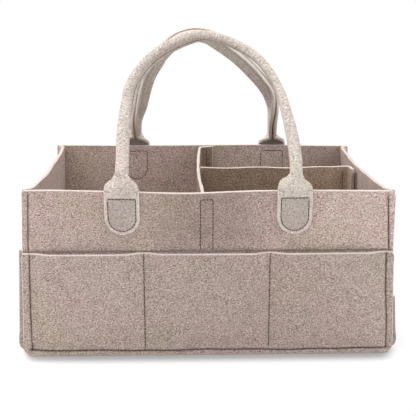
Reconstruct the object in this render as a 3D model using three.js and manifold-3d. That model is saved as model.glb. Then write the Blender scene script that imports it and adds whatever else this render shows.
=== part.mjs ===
// A felt nursery caddy: four sewn walls on a base, pockets all round, two carrying handles
// and a lift-out divider. Millimetres, +Z up, front towards -Y, origin on the floor at the centre.
import * as THREE from 'three';
import { mergeVertices } from 'three/addons/utils/BufferGeometryUtils.js';
import Module from 'manifold-3d';

const wasm = await Module();
wasm.setup();

// Body
const rimHeight = 180;
const baseLength = 384;
const sideLean = 6.5;
const bodyDepth = 244;
const sideBow = 5.5;
const wallThickness = 4;
const seamFlange = 10;
const seamInset = 6.4;
const baseRise = 12;
const clearance = 0.3;
const bowStations = 12;

// Pockets
const pocketDrop = 65;
const lowPocketHeight = 60;
const pocketThickness = 4;
const pocketGape = 6;
const sidePocketGape = 8;
const sidePocketFlange = 14;
const pocketRamp = 20;
const pocketSeams = [-68, 64];
const pocketRoundingHeight = 30;
const pocketOpenShare = 0.5;

// Handles
const leftTabX = -89.3;
const rightTabX = 88.5;
const tabWidth = 36;
const tabThickness = 4;
const tabLength = 38;
const hingeDrop = 8;
const shoulderLength = 9;
const foldLength = 15;
const foldSteps = 6;
const strapWidth = 14.8;
const gripWidth = 11.5;
const strapDepth = 17;
const rawEdgeThickness = 4.2;
const strapGroove = 2;
const strapRise = 154.5;
const gripGap = 20.9;
const gripOffset = -5;
const strapSteps = 44;
const sectionPoints = 9;
const sectionHalfAngle = 105;
const strapThreadInset = 4.5;
const strapThreadSteps = 30;

// Divider
const dividerThickness = 3.5;
const dividerX = -6;
const dividerBow = 3.5;
const dividerDrop = 3;
const crossY = 8.4;
const endTabLength = 17;
const endTabRadius = 5;
const sideTabLength = 20;
const foldCurveSteps = 6;

// Hook-and-loop strips
const stripThickness = 1.2;
const loopWidth = 16;
const loopX = -2.3;
const stripDrop = 6;
const loopFootGap = 12;
const hookWidth = 12;
const hookLength = 60;

// Threads
const threadSize = 0.9;
const threadStand = 0.3;
const threadInset = 3;
const threadSides = 6;
const bottomSeamHeight = 5.5;
const seamEndMargin = 4;

// Felt colours
const feltColour = 0xb4a399;
const pocketColour = 0xae9f96;
const handleColour = 0xcdc2b8;
const dividerColour = 0x8f7d70;
const threadColour = 0x5f4f45;
const stripColour = 0xa99c92;
const feltRoughness = 0.95;
const threadRoughness = 0.7;

// Sizes worked out from the ones above
const rimLength = baseLength - 2 * sideLean;
const innerDepth = bodyDepth / 2 - wallThickness;
const halfGap = clearance / 2;
const wallOuter = halfGap + wallThickness;
const tabBack = bodyDepth / 2 + halfGap + clearance;
const tabFront = tabBack + tabThickness;
const threadOut = threadStand + threadSize / 2;
const tabMiddle = tabBack + tabThickness / 2;
const hingeHeight = rimHeight - hingeDrop;
const tabBottom = hingeHeight - tabLength;
const strapReach = tabMiddle - gripGap / 2;
const dividerTop = rimHeight - dividerDrop;
const dividerFoot = baseRise + clearance;
const stripTop = rimHeight - stripDrop;
const loopLength = stripTop - baseRise - loopFootGap;
const stripStack = 2 * stripThickness + 3 * clearance - halfGap;
const endTabOuter = innerDepth - stripStack;
const pocketHeight = rimHeight - pocketDrop;
const pocketHeights = [pocketHeight, lowPocketHeight, pocketHeight, pocketHeight];
const turnHeights = [0, baseRise, pocketRoundingHeight, lowPocketHeight, pocketHeight, rimHeight];
const wallLevels = [...new Set(turnHeights)].sort((a, b) => a - b);

const rightWallFace = innerLength(rimHeight) - bowAt(0, rimHeight);

const root = new THREE.Group();

function felt(colour) {
  return new THREE.MeshStandardMaterial({ color: colour, roughness: feltRoughness, metalness: 0 });
}

function thread() {
  return new THREE.MeshStandardMaterial({
    color: threadColour, roughness: threadRoughness, metalness: 0,
  });
}

function addPart(name, geometry, material) {
  const mesh = new THREE.Mesh(geometry, material);
  mesh.name = name;
  root.add(mesh);
}

// Share of the way from the floor's upright stretch to the rim, for the walls' inward lean.
function leanShare(z) {
  return THREE.MathUtils.clamp((z - baseRise) / (rimHeight - baseRise), 0, 1);
}

// The side walls take their whole inward bow by the low pocket's rim and keep it above.
function bowShare(z) {
  return THREE.MathUtils.clamp((z - baseRise) / (lowPocketHeight - baseRise), 0, 1);
}

// Half the inside length between the side walls at their corners.
function innerLength(z) {
  return THREE.MathUtils.lerp(baseLength, rimLength, leanShare(z)) / 2 - wallThickness;
}

// How far a side wall leans inwards at depth y.
function bowAt(y, z) {
  return sideBow * bowShare(z) * (1 - (y / innerDepth) ** 2);
}

function isLong(side) {
  return side % 2 === 0;
}

// Places along a long wall where its outline turns or a pocket seam starts and ends.
function longStations() {
  const places = [];
  for (const seam of pocketSeams) places.push(seam - pocketRamp, seam, seam + pocketRamp);
  const end = innerLength(rimHeight);
  places.push(-end + pocketRamp, end - pocketRamp, (pocketSeams[0] + pocketSeams[1]) / 2);
  return places.sort((a, b) => a - b);
}

// Places along a side wall, from one corner to the other.
function sideStations() {
  const places = [];
  for (let i = 1; i < bowStations; i += 1) {
    places.push(THREE.MathUtils.lerp(-innerDepth, innerDepth, i / bowStations));
  }
  return places;
}

// The raw end of a sheet at a corner seam. The long walls run on past the corner, and the side
// walls turn outwards there and lie behind them.
function seamTip(corner, flange) {
  return new THREE.Vector2(corner.x + Math.sign(corner.x) * flange, corner.y);
}

// Half the length between the stitches of the corner seams.
function seamX(z) {
  return innerLength(z) + seamFlange - seamInset;
}

// Seen from above, the inner face of one wall with the flanges at its ends, counter-clockwise
// round the caddy. Side 0 is the front, 1 the right, 2 the back and 3 the left.
function wallPath(side, z, flange) {
  const sign = side < 2 ? 1 : -1;
  const corner = new THREE.Vector2(innerLength(z), innerDepth);
  const start = new THREE.Vector2(isLong(side) ? -corner.x : corner.x, -corner.y);
  const end = new THREE.Vector2(corner.x, isLong(side) ? -corner.y : corner.y);
  start.multiplyScalar(sign);
  end.multiplyScalar(sign);
  const between = isLong(side)
    ? longStations().map((x) => new THREE.Vector2(x, -sign * innerDepth))
    : sideStations().map((y) => new THREE.Vector2(sign * (corner.x - bowAt(y, z)), y));
  if (sign < 0) between.reverse();
  return [seamTip(start, flange), start, ...between, end, seamTip(end, flange)];
}

// Moves each point of a path to the right of its direction by its own distance, with mitred bends.
function offsetPath(points, distances) {
  const normals = [];
  for (let i = 0; i + 1 < points.length; i += 1) {
    const along = points[i + 1].clone().sub(points[i]).normalize();
    normals.push(new THREE.Vector2(along.y, -along.x));
  }
  return points.map((point, i) => {
    const before = normals[Math.max(i - 1, 0)];
    const after = normals[Math.min(i, normals.length - 1)];
    const mitre = before.clone().add(after).normalize();
    const reach = distances[i] / mitre.dot(after);
    return point.clone().addScaledVector(mitre, reach);
  });
}

function evenly(points, distance) {
  return points.map(() => distance);
}

// The triangles that close a sheet's end, in a row between the points of its two faces.
function sheetCap(count) {
  const faces = [];
  for (let i = 0; i + 1 < count / 2; i += 1) {
    const across = count - 1 - i;
    faces.push([i, i + 1, across], [i + 1, across - 1, across]);
  }
  return faces;
}

// The triangles that close an end with a compact outline, in the outline's own order.
function outlineCap(outline) {
  const faces = THREE.ShapeUtils.triangulateShape(outline, []);
  return THREE.ShapeUtils.isClockWise(outline) ? faces.map(([a, b, c]) => [a, c, b]) : faces;
}

// Closes rings of equal length into one solid, with the same cap on both ends.
function loft(rings, cap) {
  const count = rings[0].length;
  const positions = rings.flat().flatMap((p) => [p.x, p.y, p.z]);
  const faces = [];
  for (let k = 0; k + 1 < rings.length; k += 1) {
    for (let i = 0; i < count; i += 1) {
      const next = (i + 1) % count;
      const a = k * count + i;
      const b = k * count + next;
      faces.push([a, b, b + count], [a, b + count, a + count]);
    }
  }
  const last = (rings.length - 1) * count;
  for (const [a, b, c] of cap) faces.push([a, c, b], [last + a, last + b, last + c]);
  const geometry = new THREE.BufferGeometry();
  geometry.setAttribute('position', new THREE.Float32BufferAttribute(positions, 3));
  geometry.setIndex(faces.flat());
  return facingOut(geometry);
}

// Turns a closed geometry's triangles outwards when they face in.
function facingOut(geometry) {
  const position = geometry.getAttribute('position');
  const index = Array.from(geometry.getIndex().array);
  const [a, b, c] = [new THREE.Vector3(), new THREE.Vector3(), new THREE.Vector3()];
  let volume = 0;
  for (let i = 0; i < index.length; i += 3) {
    a.fromBufferAttribute(position, index[i]);
    b.fromBufferAttribute(position, index[i + 1]);
    c.fromBufferAttribute(position, index[i + 2]);
    volume += a.dot(b.cross(c));
  }
  if (volume < 0) {
    for (let i = 0; i < index.length; i += 3) {
      [index[i], index[i + 1]] = [index[i + 1], index[i]];
    }
    geometry.setIndex(index);
  }
  return geometry;
}

// A sheet standing between levels, from the two faces' paths at each level.
function standingSheet(levels, facesAt) {
  const rings = levels.map((z) => {
    const [first, second] = facesAt(z);
    return [...first, ...second.reverse()].map((p) => new THREE.Vector3(p.x, p.y, z));
  });
  return loft(rings, sheetCap(rings[0].length));
}

function wallGeometry(side) {
  return standingSheet(wallLevels, (z) => {
    const path = wallPath(side, z, seamFlange);
    return [
      offsetPath(path, evenly(path, halfGap)),
      offsetPath(path, evenly(path, wallOuter)),
    ];
  });
}

// How open the pockets are at height z: shut along their foot, at their widest from a share
// of the full pocket's height up.
function openShare(z) {
  const share = (z - baseRise) / (pocketHeight * pocketOpenShare);
  return Math.sqrt(THREE.MathUtils.clamp(share, 0, 1));
}

// How far a pocket stands off its wall along one wall's path at one level. A long pocket is shut
// at its seams and open between them. A side pocket hangs straighter than the bowed wall.
function pocketGapsAt(side, path, z) {
  const open = openShare(z);
  const corner = innerLength(z);
  const seams = [-corner, ...pocketSeams, corner];
  return path.map((point, i) => {
    if (i < 2 || i > path.length - 3) return clearance;
    if (!isLong(side)) {
      return clearance + sidePocketGape * open * (1 - (point.y / innerDepth) ** 2);
    }
    const nearest = Math.min(...seams.map((seam) => Math.abs(point.x - seam)));
    const rampShare = THREE.MathUtils.smoothstep(nearest, 0, pocketRamp);
    return clearance + pocketGape * open * rampShare;
  });
}

function pocketGeometry(side) {
  const levels = wallLevels.filter((z) => z <= pocketHeights[side]);
  const flange = isLong(side) ? seamFlange : sidePocketFlange;
  return standingSheet(levels, (z) => {
    const path = wallPath(side, z, flange);
    const gaps = pocketGapsAt(side, path, z);
    return [
      offsetPath(path, gaps.map((gap) => wallOuter + gap + pocketThickness)),
      offsetPath(path, gaps.map((gap) => wallOuter + gap)),
    ];
  });
}

function boxAt(sizeX, sizeY, sizeZ, x, y, z) {
  return new THREE.BoxGeometry(sizeX, sizeY, sizeZ).translate(x, y, z);
}

function toManifold(geometry) {
  const bare = geometry.clone();
  bare.deleteAttribute('normal');
  bare.deleteAttribute('uv');
  const merged = mergeVertices(bare);
  return new wasm.Manifold(new wasm.Mesh({
    numProp: 3,
    vertProperties: new Float32Array(merged.getAttribute('position').array),
    triVerts: new Uint32Array(merged.getIndex().array),
  }));
}

function fromManifold(solid) {
  const mesh = solid.getMesh();
  const geometry = new THREE.BufferGeometry();
  geometry.setAttribute('position', new THREE.Float32BufferAttribute(mesh.vertProperties, 3));
  geometry.setIndex(Array.from(mesh.triVerts));
  return geometry;
}

// The base: a flat panel whose edges turn down to the floor all round.
function basePanelGeometry() {
  const length = 2 * (innerLength(0) - halfGap);
  const depth = 2 * (innerDepth - halfGap);
  const panel = boxAt(length, depth, baseRise, 0, 0, baseRise / 2);
  const skirt = 2 * wallThickness;
  const under = boxAt(length - skirt, depth - skirt, baseRise, 0, 0, baseRise / 2 - wallThickness);
  return fromManifold(toManifold(panel).subtract(toManifold(under)));
}

// A handle's sewn-down end: straight sides and a round foot.
function tabOutline(inset, top) {
  const radius = tabWidth / 2 - inset;
  const centre = tabBottom + tabWidth / 2;
  const shape = new THREE.Shape();
  shape.moveTo(-radius, top - inset);
  shape.lineTo(-radius, centre);
  shape.absarc(0, centre, radius, Math.PI, 2 * Math.PI, false);
  shape.lineTo(radius, top - inset);
  shape.closePath();
  return shape;
}

// Stands a drawn outline up so that its depth runs from the face towards the viewer.
function raised(shape, depth, x, face, front) {
  const geometry = new THREE.ExtrudeGeometry(shape, { depth, bevelEnabled: false });
  geometry.rotateX(Math.PI / 2);
  geometry.translate(x, -face, 0);
  if (!front) geometry.rotateZ(Math.PI);
  return geometry;
}

function tabGeometry(x, front) {
  const shape = tabOutline(0, hingeHeight - halfGap);
  return raised(shape, tabThickness, front ? x : -x, tabBack, front);
}

function tabThreadGeometry(x, front) {
  const shape = tabOutline(threadInset, hingeHeight);
  shape.holes.push(new THREE.Path(tabOutline(threadInset + threadSize, hingeHeight).getPoints()));
  return raised(shape, threadSize, front ? x : -x, tabFront + threadStand, front);
}

// The strap's cross-section: flat where it leaves the wall, folded in two with its raw edges
// inwards along the handle. Across is the width and down is towards the raw edges.
function strapSection(foldShare, width) {
  const halfAngle = THREE.MathUtils.degToRad(sectionHalfAngle);
  const radius = width / 2;
  const half = tabWidth / 2;
  const face = tabThickness / 2;
  const edge = strapDepth / 2;
  const flat = [];
  const folded = [];
  for (let i = 0; i < sectionPoints; i += 1) {
    const share = i / (sectionPoints - 1);
    const angle = THREE.MathUtils.lerp(-halfAngle, halfAngle, share);
    const flatShare = (2 * share - 1) * (sectionPoints - 1) / sectionPoints;
    flat.push(new THREE.Vector2(half * flatShare, -face));
    folded.push(new THREE.Vector2(radius * Math.sin(angle), radius * (1 - Math.cos(angle)) - edge));
  }
  flat.push(new THREE.Vector2(half, -face), new THREE.Vector2(half, face));
  flat.push(new THREE.Vector2(0, face));
  flat.push(new THREE.Vector2(-half, face), new THREE.Vector2(-half, -face));
  folded.push(new THREE.Vector2(rawEdgeThickness, edge), new THREE.Vector2(clearance, edge));
  folded.push(new THREE.Vector2(0, edge - strapGroove));
  folded.push(new THREE.Vector2(-clearance, edge), new THREE.Vector2(-rawEdgeThickness, edge));
  return flat.map((p, i) => p.clone().lerp(folded[i], foldShare));
}

// Points of the handle's arch: how far out towards its tab, and how high up to the grip.
const archShares = [
  [1, 0.0], [1, 0.085], [0.99, 0.28], [0.97, 0.44], [0.93, 0.58], [0.86, 0.69], [0.745, 0.787],
  [0.57, 0.88], [0.33, 0.965],
];

function strapCurve() {
  const points = [];
  const place = (x, upShare) => {
    const reachShare = Math.max(0, (upShare - archShares[1][1]) / (1 - archShares[1][1]));
    const y = -tabMiddle + strapReach * reachShare;
    points.push(new THREE.Vector3(x, y, hingeHeight + halfGap + strapRise * upShare));
  };
  for (const [outShare, upShare] of archShares) {
    place(gripOffset + (leftTabX - gripOffset) * outShare, upShare);
  }
  place(gripOffset, 1);
  for (const [outShare, upShare] of [...archShares].reverse()) {
    place(gripOffset + (rightTabX - gripOffset) * outShare, upShare);
  }
  return new THREE.CatmullRomCurve3(points, false, 'centripetal');
}

// Each strap's turn about its own line, in degrees, at even shares of its length.
const straightTurns = [0, 0];
const backTurns = [0, 10, 20, 15, 0, 35, 55, 20, 0];

function turnAt(turns, share) {
  const place = share * (turns.length - 1);
  const i = Math.min(Math.floor(place), turns.length - 2);
  const blend = THREE.MathUtils.smoothstep(place - i, 0, 1);
  return THREE.MathUtils.degToRad(THREE.MathUtils.lerp(turns[i], turns[i + 1], blend));
}

// Distances along the strap: close together where it unfolds into its tabs, even between.
function strapDistances(length) {
  const folded = shoulderLength + foldLength;
  const unfolding = [0];
  for (let i = 0; i <= foldSteps; i += 1) {
    unfolding.push(shoulderLength + foldLength * Math.sin((Math.PI / 2) * (i / foldSteps)));
  }
  return [
    ...unfolding,
    ...evenDistances(folded, length - folded, strapSteps).slice(1, -1),
    ...unfolding.map((distance) => length - distance).reverse(),
  ];
}

function evenDistances(from, to, steps) {
  return Array.from({ length: steps + 1 }, (_, i) => THREE.MathUtils.lerp(from, to, i / steps));
}

// The sheet folds slowly at first and then closes at the neck, which rounds the shoulders.
function foldShareAt(toEnd) {
  const share = THREE.MathUtils.clamp((toEnd - shoulderLength) / foldLength, 0, 1);
  return 1 - Math.sqrt(1 - share ** 2);
}

// The strap's line with its width and depth directions, at given distances along it.
function strapFrames(curve, turns, distances) {
  const length = curve.getLength();
  const inward = new THREE.Vector3(0, 1, 0);
  return distances.map((distance) => {
    const share = distance / length;
    const tangent = curve.getTangentAt(share);
    const depth = inward.clone().addScaledVector(tangent, -tangent.dot(inward)).normalize();
    depth.applyAxisAngle(tangent, turnAt(turns, share));
    const across = depth.clone().cross(tangent);
    const foldShare = foldShareAt(Math.min(distance, length - distance));
    const width = THREE.MathUtils.lerp(strapWidth, gripWidth, Math.sin(Math.PI * share) ** 2);
    return { centre: curve.getPointAt(share), depth, across, foldShare, width };
  });
}

function strapGeometry(front) {
  const curve = strapCurve();
  const distances = strapDistances(curve.getLength());
  const frames = strapFrames(curve, front ? straightTurns : backTurns, distances);
  const rings = frames.map(({ centre, depth, across, foldShare, width }) => (
    strapSection(foldShare, width).map((p) => (
      centre.clone().addScaledVector(across, p.x).addScaledVector(depth, p.y)
    ))
  ));
  return mirrored(loft(rings, outlineCap(strapSection(0, strapWidth))), front);
}

// The back handle is the front one seen in a mirror across the middle of the caddy.
function mirrored(geometry, front) {
  if (front) return geometry;
  const position = geometry.getAttribute('position');
  for (let i = 0; i < position.count; i += 1) position.setY(i, -position.getY(i));
  return facingOut(geometry);
}

// The seam that closes the folded strap, on one of its two faces.
function strapThreadGeometry(front, face) {
  const curve = strapCurve();
  const start = shoulderLength + foldLength + seamEndMargin;
  const distances = evenDistances(start, curve.getLength() - start, strapThreadSteps);
  const frames = strapFrames(curve, front ? straightTurns : backTurns, distances);
  const down = strapDepth / 2 - strapThreadInset;
  const rings = frames.map(({ centre, depth, across, width }) => {
    const flare = (width / 2 - rawEdgeThickness) * strapThreadInset / (strapDepth - width / 2);
    const out = rawEdgeThickness + flare + threadStand + threadSize;
    const middle = centre.clone().addScaledVector(depth, down);
    middle.addScaledVector(across, face * out);
    return threadRing(middle, depth, across);
  });
  return mirrored(loft(rings, outlineCap(threadOutline())), front);
}

function threadOutline() {
  const outline = [];
  for (let i = 0; i < threadSides; i += 1) {
    const angle = (2 * Math.PI * i) / threadSides;
    outline.push(new THREE.Vector2(Math.cos(angle), Math.sin(angle)).multiplyScalar(threadSize / 2));
  }
  return outline;
}

function threadRing(middle, first, second) {
  return threadOutline().map((p) => (
    middle.clone().addScaledVector(first, p.x).addScaledVector(second, p.y)
  ));
}

// A run of thread through given points, its rings square to the run.
function threadRun(points, up) {
  const rings = points.map((point, i) => {
    const before = points[Math.max(i - 1, 0)];
    const after = points[Math.min(i + 1, points.length - 1)];
    const along = after.clone().sub(before).normalize();
    const first = up.clone().cross(along).normalize();
    return threadRing(point, first, along.clone().cross(first));
  });
  return loft(rings, outlineCap(threadOutline()));
}

const axisX = new THREE.Vector3(1, 0, 0);
const axisZ = new THREE.Vector3(0, 0, 1);

// One corner seam's thread on a long side: up the pocket, over its rim and up the wall.
function cornerThreadGeometry(front, right) {
  const wallOut = innerDepth + wallOuter + threadOut;
  const pocketOut = wallOut + clearance + pocketThickness;
  const place = (z, out) => (
    new THREE.Vector3(right ? seamX(z) : -seamX(z), front ? -out : out, z)
  );
  return threadRun([
    place(bottomSeamHeight, pocketOut),
    place(baseRise, pocketOut),
    place(pocketHeight + threadSize, pocketOut),
    place(pocketHeight + pocketThickness + threadSize, wallOut),
    place(rimHeight - seamEndMargin, wallOut),
  ], axisX);
}

// The thread along the foot of one side's pocket. On a long side it reaches the corner seams.
function bottomThreadGeometry(side) {
  const z = bottomSeamHeight;
  const path = wallPath(side, z, seamFlange);
  const gaps = pocketGapsAt(side, path, z);
  const out = gaps.map((gap) => wallOuter + gap + pocketThickness + threadOut);
  const line = offsetPath(path, out).slice(1, -1);
  const last = line.length - 1;
  const reach = isLong(side) ? seamX(z) - innerLength(z) - clearance - threadSize : -seamEndMargin;
  line[0].add(line[0].clone().sub(line[1]).setLength(reach));
  line[last].add(line[last].clone().sub(line[last - 1]).setLength(reach));
  return threadRun(line.map((p) => new THREE.Vector3(p.x, p.y, z)), axisZ);
}

// An upright seam that parts a long pocket.
function pocketThreadGeometry(x, front) {
  const out = innerDepth + wallOuter + clearance + pocketThickness + threadOut;
  const y = front ? -out : out;
  const foot = bottomSeamHeight + seamEndMargin;
  return threadRun([
    new THREE.Vector3(x, y, foot), new THREE.Vector3(x, y, pocketHeight - clearance),
  ], axisX);
}

// The centre divider seen from above: a bowed sheet with an end tab folded along each long wall.
function centreDividerPath() {
  const line = endTabOuter - dividerThickness / 2;
  const tabEnd = dividerX + endTabLength;
  const foot = new THREE.Path();
  foot.moveTo(tabEnd, -line);
  foot.lineTo(dividerX + endTabRadius, -line);
  foot.quadraticCurveTo(dividerX, -line, dividerX, -line + endTabRadius);
  const middle = crossY;
  foot.quadraticCurveTo(dividerX - dividerBow, (middle - line) / 2, dividerX - dividerBow, middle);
  foot.quadraticCurveTo(dividerX - dividerBow, (middle + line) / 2, dividerX, line - endTabRadius);
  foot.quadraticCurveTo(dividerX, line, dividerX + endTabRadius, line);
  foot.lineTo(tabEnd, line);
  return foot.getPoints(foldCurveSteps);
}

// The cross divider: from the centre divider to the right wall, its end folded to the front.
function crossDividerPath() {
  const line = rightWallFace - stripStack - dividerThickness / 2;
  const start = dividerX - dividerBow + dividerThickness / 2 + clearance;
  const foot = new THREE.Path();
  foot.moveTo(start, crossY);
  foot.lineTo(line - endTabRadius, crossY);
  foot.quadraticCurveTo(line, crossY, line, crossY - endTabRadius);
  foot.lineTo(line, crossY - sideTabLength);
  return foot.getPoints(foldCurveSteps);
}

function dividerGeometry(path) {
  return standingSheet([dividerFoot, dividerTop], () => [
    offsetPath(path, evenly(path, -dividerThickness / 2)),
    offsetPath(path, evenly(path, dividerThickness / 2)),
  ]);
}

function loopStripGeometry(front) {
  const y = innerDepth + halfGap - clearance - stripThickness / 2;
  const z = stripTop - loopLength / 2;
  return boxAt(loopWidth, stripThickness, loopLength, loopX, front ? -y : y, z);
}

function hookStripGeometry(front) {
  const y = endTabOuter + clearance + stripThickness / 2;
  const x = dividerX + endTabLength / 2;
  const z = stripTop - hookLength / 2;
  return boxAt(hookWidth, stripThickness, hookLength, x, front ? -y : y, z);
}

// The side strip follows the lean of the right wall, the one on the divider stays upright.
function sideLoopGeometry() {
  const middle = crossY - sideTabLength / 2;
  const ends = [middle - loopWidth / 2, middle + loopWidth / 2];
  return standingSheet([stripTop - hookLength, stripTop], (z) => {
    const face = innerLength(z) - bowAt(middle, z) + halfGap - 2 * clearance;
    return [
      ends.map((y) => new THREE.Vector2(face, y)),
      ends.map((y) => new THREE.Vector2(face - stripThickness, y)),
    ];
  });
}

function sideHookGeometry() {
  const x = rightWallFace - stripStack + clearance + stripThickness / 2;
  const y = crossY - sideTabLength / 2;
  return boxAt(stripThickness, hookWidth, hookLength, x, y, stripTop - hookLength / 2);
}

// The seam on the outside of a long wall that holds the loop strip on the inside.
function loopThreadGeometry(front) {
  const half = loopWidth / 2 - threadInset / 2;
  const top = stripTop - threadInset / 2;
  const foot = pocketHeight + seamEndMargin;
  const shape = new THREE.Shape([
    new THREE.Vector2(-half, foot), new THREE.Vector2(-half, top),
    new THREE.Vector2(half, top), new THREE.Vector2(half, foot),
    new THREE.Vector2(half - threadSize, foot), new THREE.Vector2(half - threadSize, top - threadSize),
    new THREE.Vector2(threadSize - half, top - threadSize), new THREE.Vector2(threadSize - half, foot),
  ]);
  const face = innerDepth + wallOuter + threadStand;
  return raised(shape, threadSize, front ? loopX : -loopX, face, front);
}

// An upright seam in the divider.
function dividerSeamGeometry(x, y) {
  return threadRun([
    new THREE.Vector3(x, y, dividerFoot + seamEndMargin),
    new THREE.Vector3(x, y, dividerTop - seamEndMargin),
  ], axisX);
}

addPart('base_panel', basePanelGeometry(), felt(feltColour));
['front', 'right', 'back', 'left'].forEach((name, side) => {
  addPart(`${name}_panel`, wallGeometry(side), felt(feltColour));
  addPart(`${name}_pocket`, pocketGeometry(side), felt(pocketColour));
  addPart(`${name}_bottom_thread`, bottomThreadGeometry(side), thread());
});
for (const [name, front] of [['front', true], ['back', false]]) {
  for (const [end, tabX, seam] of [
    ['left', leftTabX, pocketSeams[0]], ['right', rightTabX, pocketSeams[1]],
  ]) {
    addPart(`${name}_${end}_tab`, tabGeometry(tabX, front), felt(handleColour));
    addPart(`${name}_${end}_tab_thread`, tabThreadGeometry(tabX, front), thread());
    addPart(`${name}_${end}_pocket_thread`, pocketThreadGeometry(seam, front), thread());
    addPart(`${name}_${end}_corner_thread`, cornerThreadGeometry(front, end === 'right'), thread());
  }
  addPart(`${name}_loop_strip`, loopStripGeometry(front), felt(stripColour));
  addPart(`${name}_loop_thread`, loopThreadGeometry(front), thread());
  addPart(`${name}_hook_strip`, hookStripGeometry(front), felt(stripColour));
  addPart(`${name}_strap`, strapGeometry(front), felt(handleColour));
  addPart(`${name}_strap_outer_thread`, strapThreadGeometry(front, 1), thread());
  addPart(`${name}_strap_inner_thread`, strapThreadGeometry(front, -1), thread());
}
addPart('centre_divider', dividerGeometry(centreDividerPath()), felt(dividerColour));
addPart('cross_divider', dividerGeometry(crossDividerPath()), felt(dividerColour));
const tabSeamX = dividerX + endTabLength / 2;
const tabSeamY = endTabOuter - dividerThickness - threadOut;
addPart('front_divider_thread', dividerSeamGeometry(tabSeamX, -tabSeamY), thread());
addPart('back_divider_thread', dividerSeamGeometry(tabSeamX, tabSeamY), thread());
const crossSeamX = rightWallFace - stripStack - sideTabLength / 2;
const crossSeamY = crossY - dividerThickness / 2 - threadOut;
addPart('cross_divider_thread', dividerSeamGeometry(crossSeamX, crossSeamY), thread());
addPart('side_loop_strip', sideLoopGeometry(), felt(stripColour));
addPart('side_hook_strip', sideHookGeometry(), felt(stripColour));

export default root;
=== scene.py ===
"""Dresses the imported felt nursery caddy: heathered felt, sewn seams, folded handles and soft light.

Metres, +Z up, front towards -Y, origin on the floor under the middle of the caddy.
"""

import logging
import math
from collections.abc import Callable
from dataclasses import dataclass, field
from enum import Enum

import bpy
import numpy as np
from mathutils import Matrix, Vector


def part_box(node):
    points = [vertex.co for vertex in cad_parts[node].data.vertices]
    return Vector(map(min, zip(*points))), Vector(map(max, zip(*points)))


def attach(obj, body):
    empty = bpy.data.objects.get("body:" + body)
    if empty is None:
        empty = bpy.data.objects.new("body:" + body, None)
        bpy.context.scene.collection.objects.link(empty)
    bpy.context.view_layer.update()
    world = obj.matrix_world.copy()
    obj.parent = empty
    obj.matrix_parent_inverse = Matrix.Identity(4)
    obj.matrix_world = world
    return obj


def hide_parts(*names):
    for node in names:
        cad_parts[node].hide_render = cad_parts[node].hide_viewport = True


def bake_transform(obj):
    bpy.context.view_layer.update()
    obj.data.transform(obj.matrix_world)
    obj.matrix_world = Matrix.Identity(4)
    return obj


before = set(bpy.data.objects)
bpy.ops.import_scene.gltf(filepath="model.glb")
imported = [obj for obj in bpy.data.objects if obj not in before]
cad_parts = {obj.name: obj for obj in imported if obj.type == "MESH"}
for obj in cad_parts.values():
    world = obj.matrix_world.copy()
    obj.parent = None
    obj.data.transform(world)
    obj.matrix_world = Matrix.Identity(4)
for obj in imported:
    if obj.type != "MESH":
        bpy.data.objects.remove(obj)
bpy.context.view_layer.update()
LOG = logging.getLogger("caddy")
RUN_SPACING = 0.001
WHITE = (1, 1, 1, 1)

Triple = tuple[float, float, float]
Colour = Triple
Line = list[tuple[float, float]]
Grid = tuple[np.ndarray, np.ndarray, np.ndarray]


class Side(Enum):
    """The four sides of the caddy, counter-clockwise from the front."""

    FRONT = "front"
    RIGHT = "right"
    BACK = "back"
    LEFT = "left"


class Face(Enum):
    """The two faces of a sheet of felt."""

    OUTER = 1
    INNER = -1


class Seam(Enum):
    """Kinds of seam, by how deep each draws the felt in, how wide its groove is and how much shade is painted
    into that groove.
    """

    UPRIGHT = (0.0006, 0.0013, 0.35)
    CORNER = (0.0011, 0.0011, 0.62)
    BOTTOM = (0.0009, 0.0013, 0.70)
    LOOP = (0.0004, 0.0010, 0.20)
    # painted shadow of the gap behind the pocket's rim, over a faint crease
    POCKET_RIM_SHADOW = (0.0002, 0.0011, 0.50)
    TAB = (0.0008, 0.0011, 0.55)
    CLOSING = (0.0005, 0.0010, 0.30)


def ramp(value: np.ndarray, low: float, high: float) -> np.ndarray:
    """Rises smoothly from 0 at low to 1 at high."""
    share = np.clip((np.asarray(value, float) - low) / (high - low), 0, 1)
    return share * share * (3 - 2 * share)


def bump(value: np.ndarray, centre: float, reach: float) -> np.ndarray:
    """A soft hump of height 1 at centre that fades over reach."""
    return np.exp(-(((np.asarray(value, float) - centre) / reach) ** 2))


@dataclass(frozen=True)
class Swell:
    """A soft bulge or dip: where it is, how far it fades to either side, and its height."""

    at: float
    reach: float
    height: float

    def of(self, place: np.ndarray) -> np.ndarray:
        """Its height at each place."""
        return self.height * bump(place, self.at, self.reach)


@dataclass(frozen=True)
class Slope:
    """A soft step from nothing at its start to its full height at its end."""

    start: float
    end: float
    height: float = 1.0

    def of(self, place: np.ndarray) -> np.ndarray:
        """Its height at each place."""
        return self.height * ramp(place, self.start, self.end)


@dataclass(frozen=True)
class Wave:
    """A slow wave: its height, its lengths along and across, and its phase."""

    height: float
    length: float
    cross_length: float = math.inf
    phase: float = 0.0

    def of(self, place: np.ndarray, cross: np.ndarray | float = 0.0) -> np.ndarray:
        """Its height at each place."""
        return self.height * np.sin(place / self.length + cross / self.cross_length + self.phase)


def total(parts: tuple[Swell | Slope | Wave, ...], *place: np.ndarray) -> np.ndarray:
    """The summed height of several forms at each place."""
    return sum(part.of(*place) for part in parts)


def distances(points: np.ndarray) -> np.ndarray:
    """How far along its line each point is."""
    return np.concatenate([[0], np.cumsum(np.linalg.norm(np.diff(points, axis=0), axis=1))])


def read_line(place: np.ndarray | float, measure: np.ndarray, values: np.ndarray) -> np.ndarray:
    """Reads rows of values at one or more distances along their line."""
    return np.stack([np.interp(place, measure, column) for column in np.transpose(values)], -1)


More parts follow.
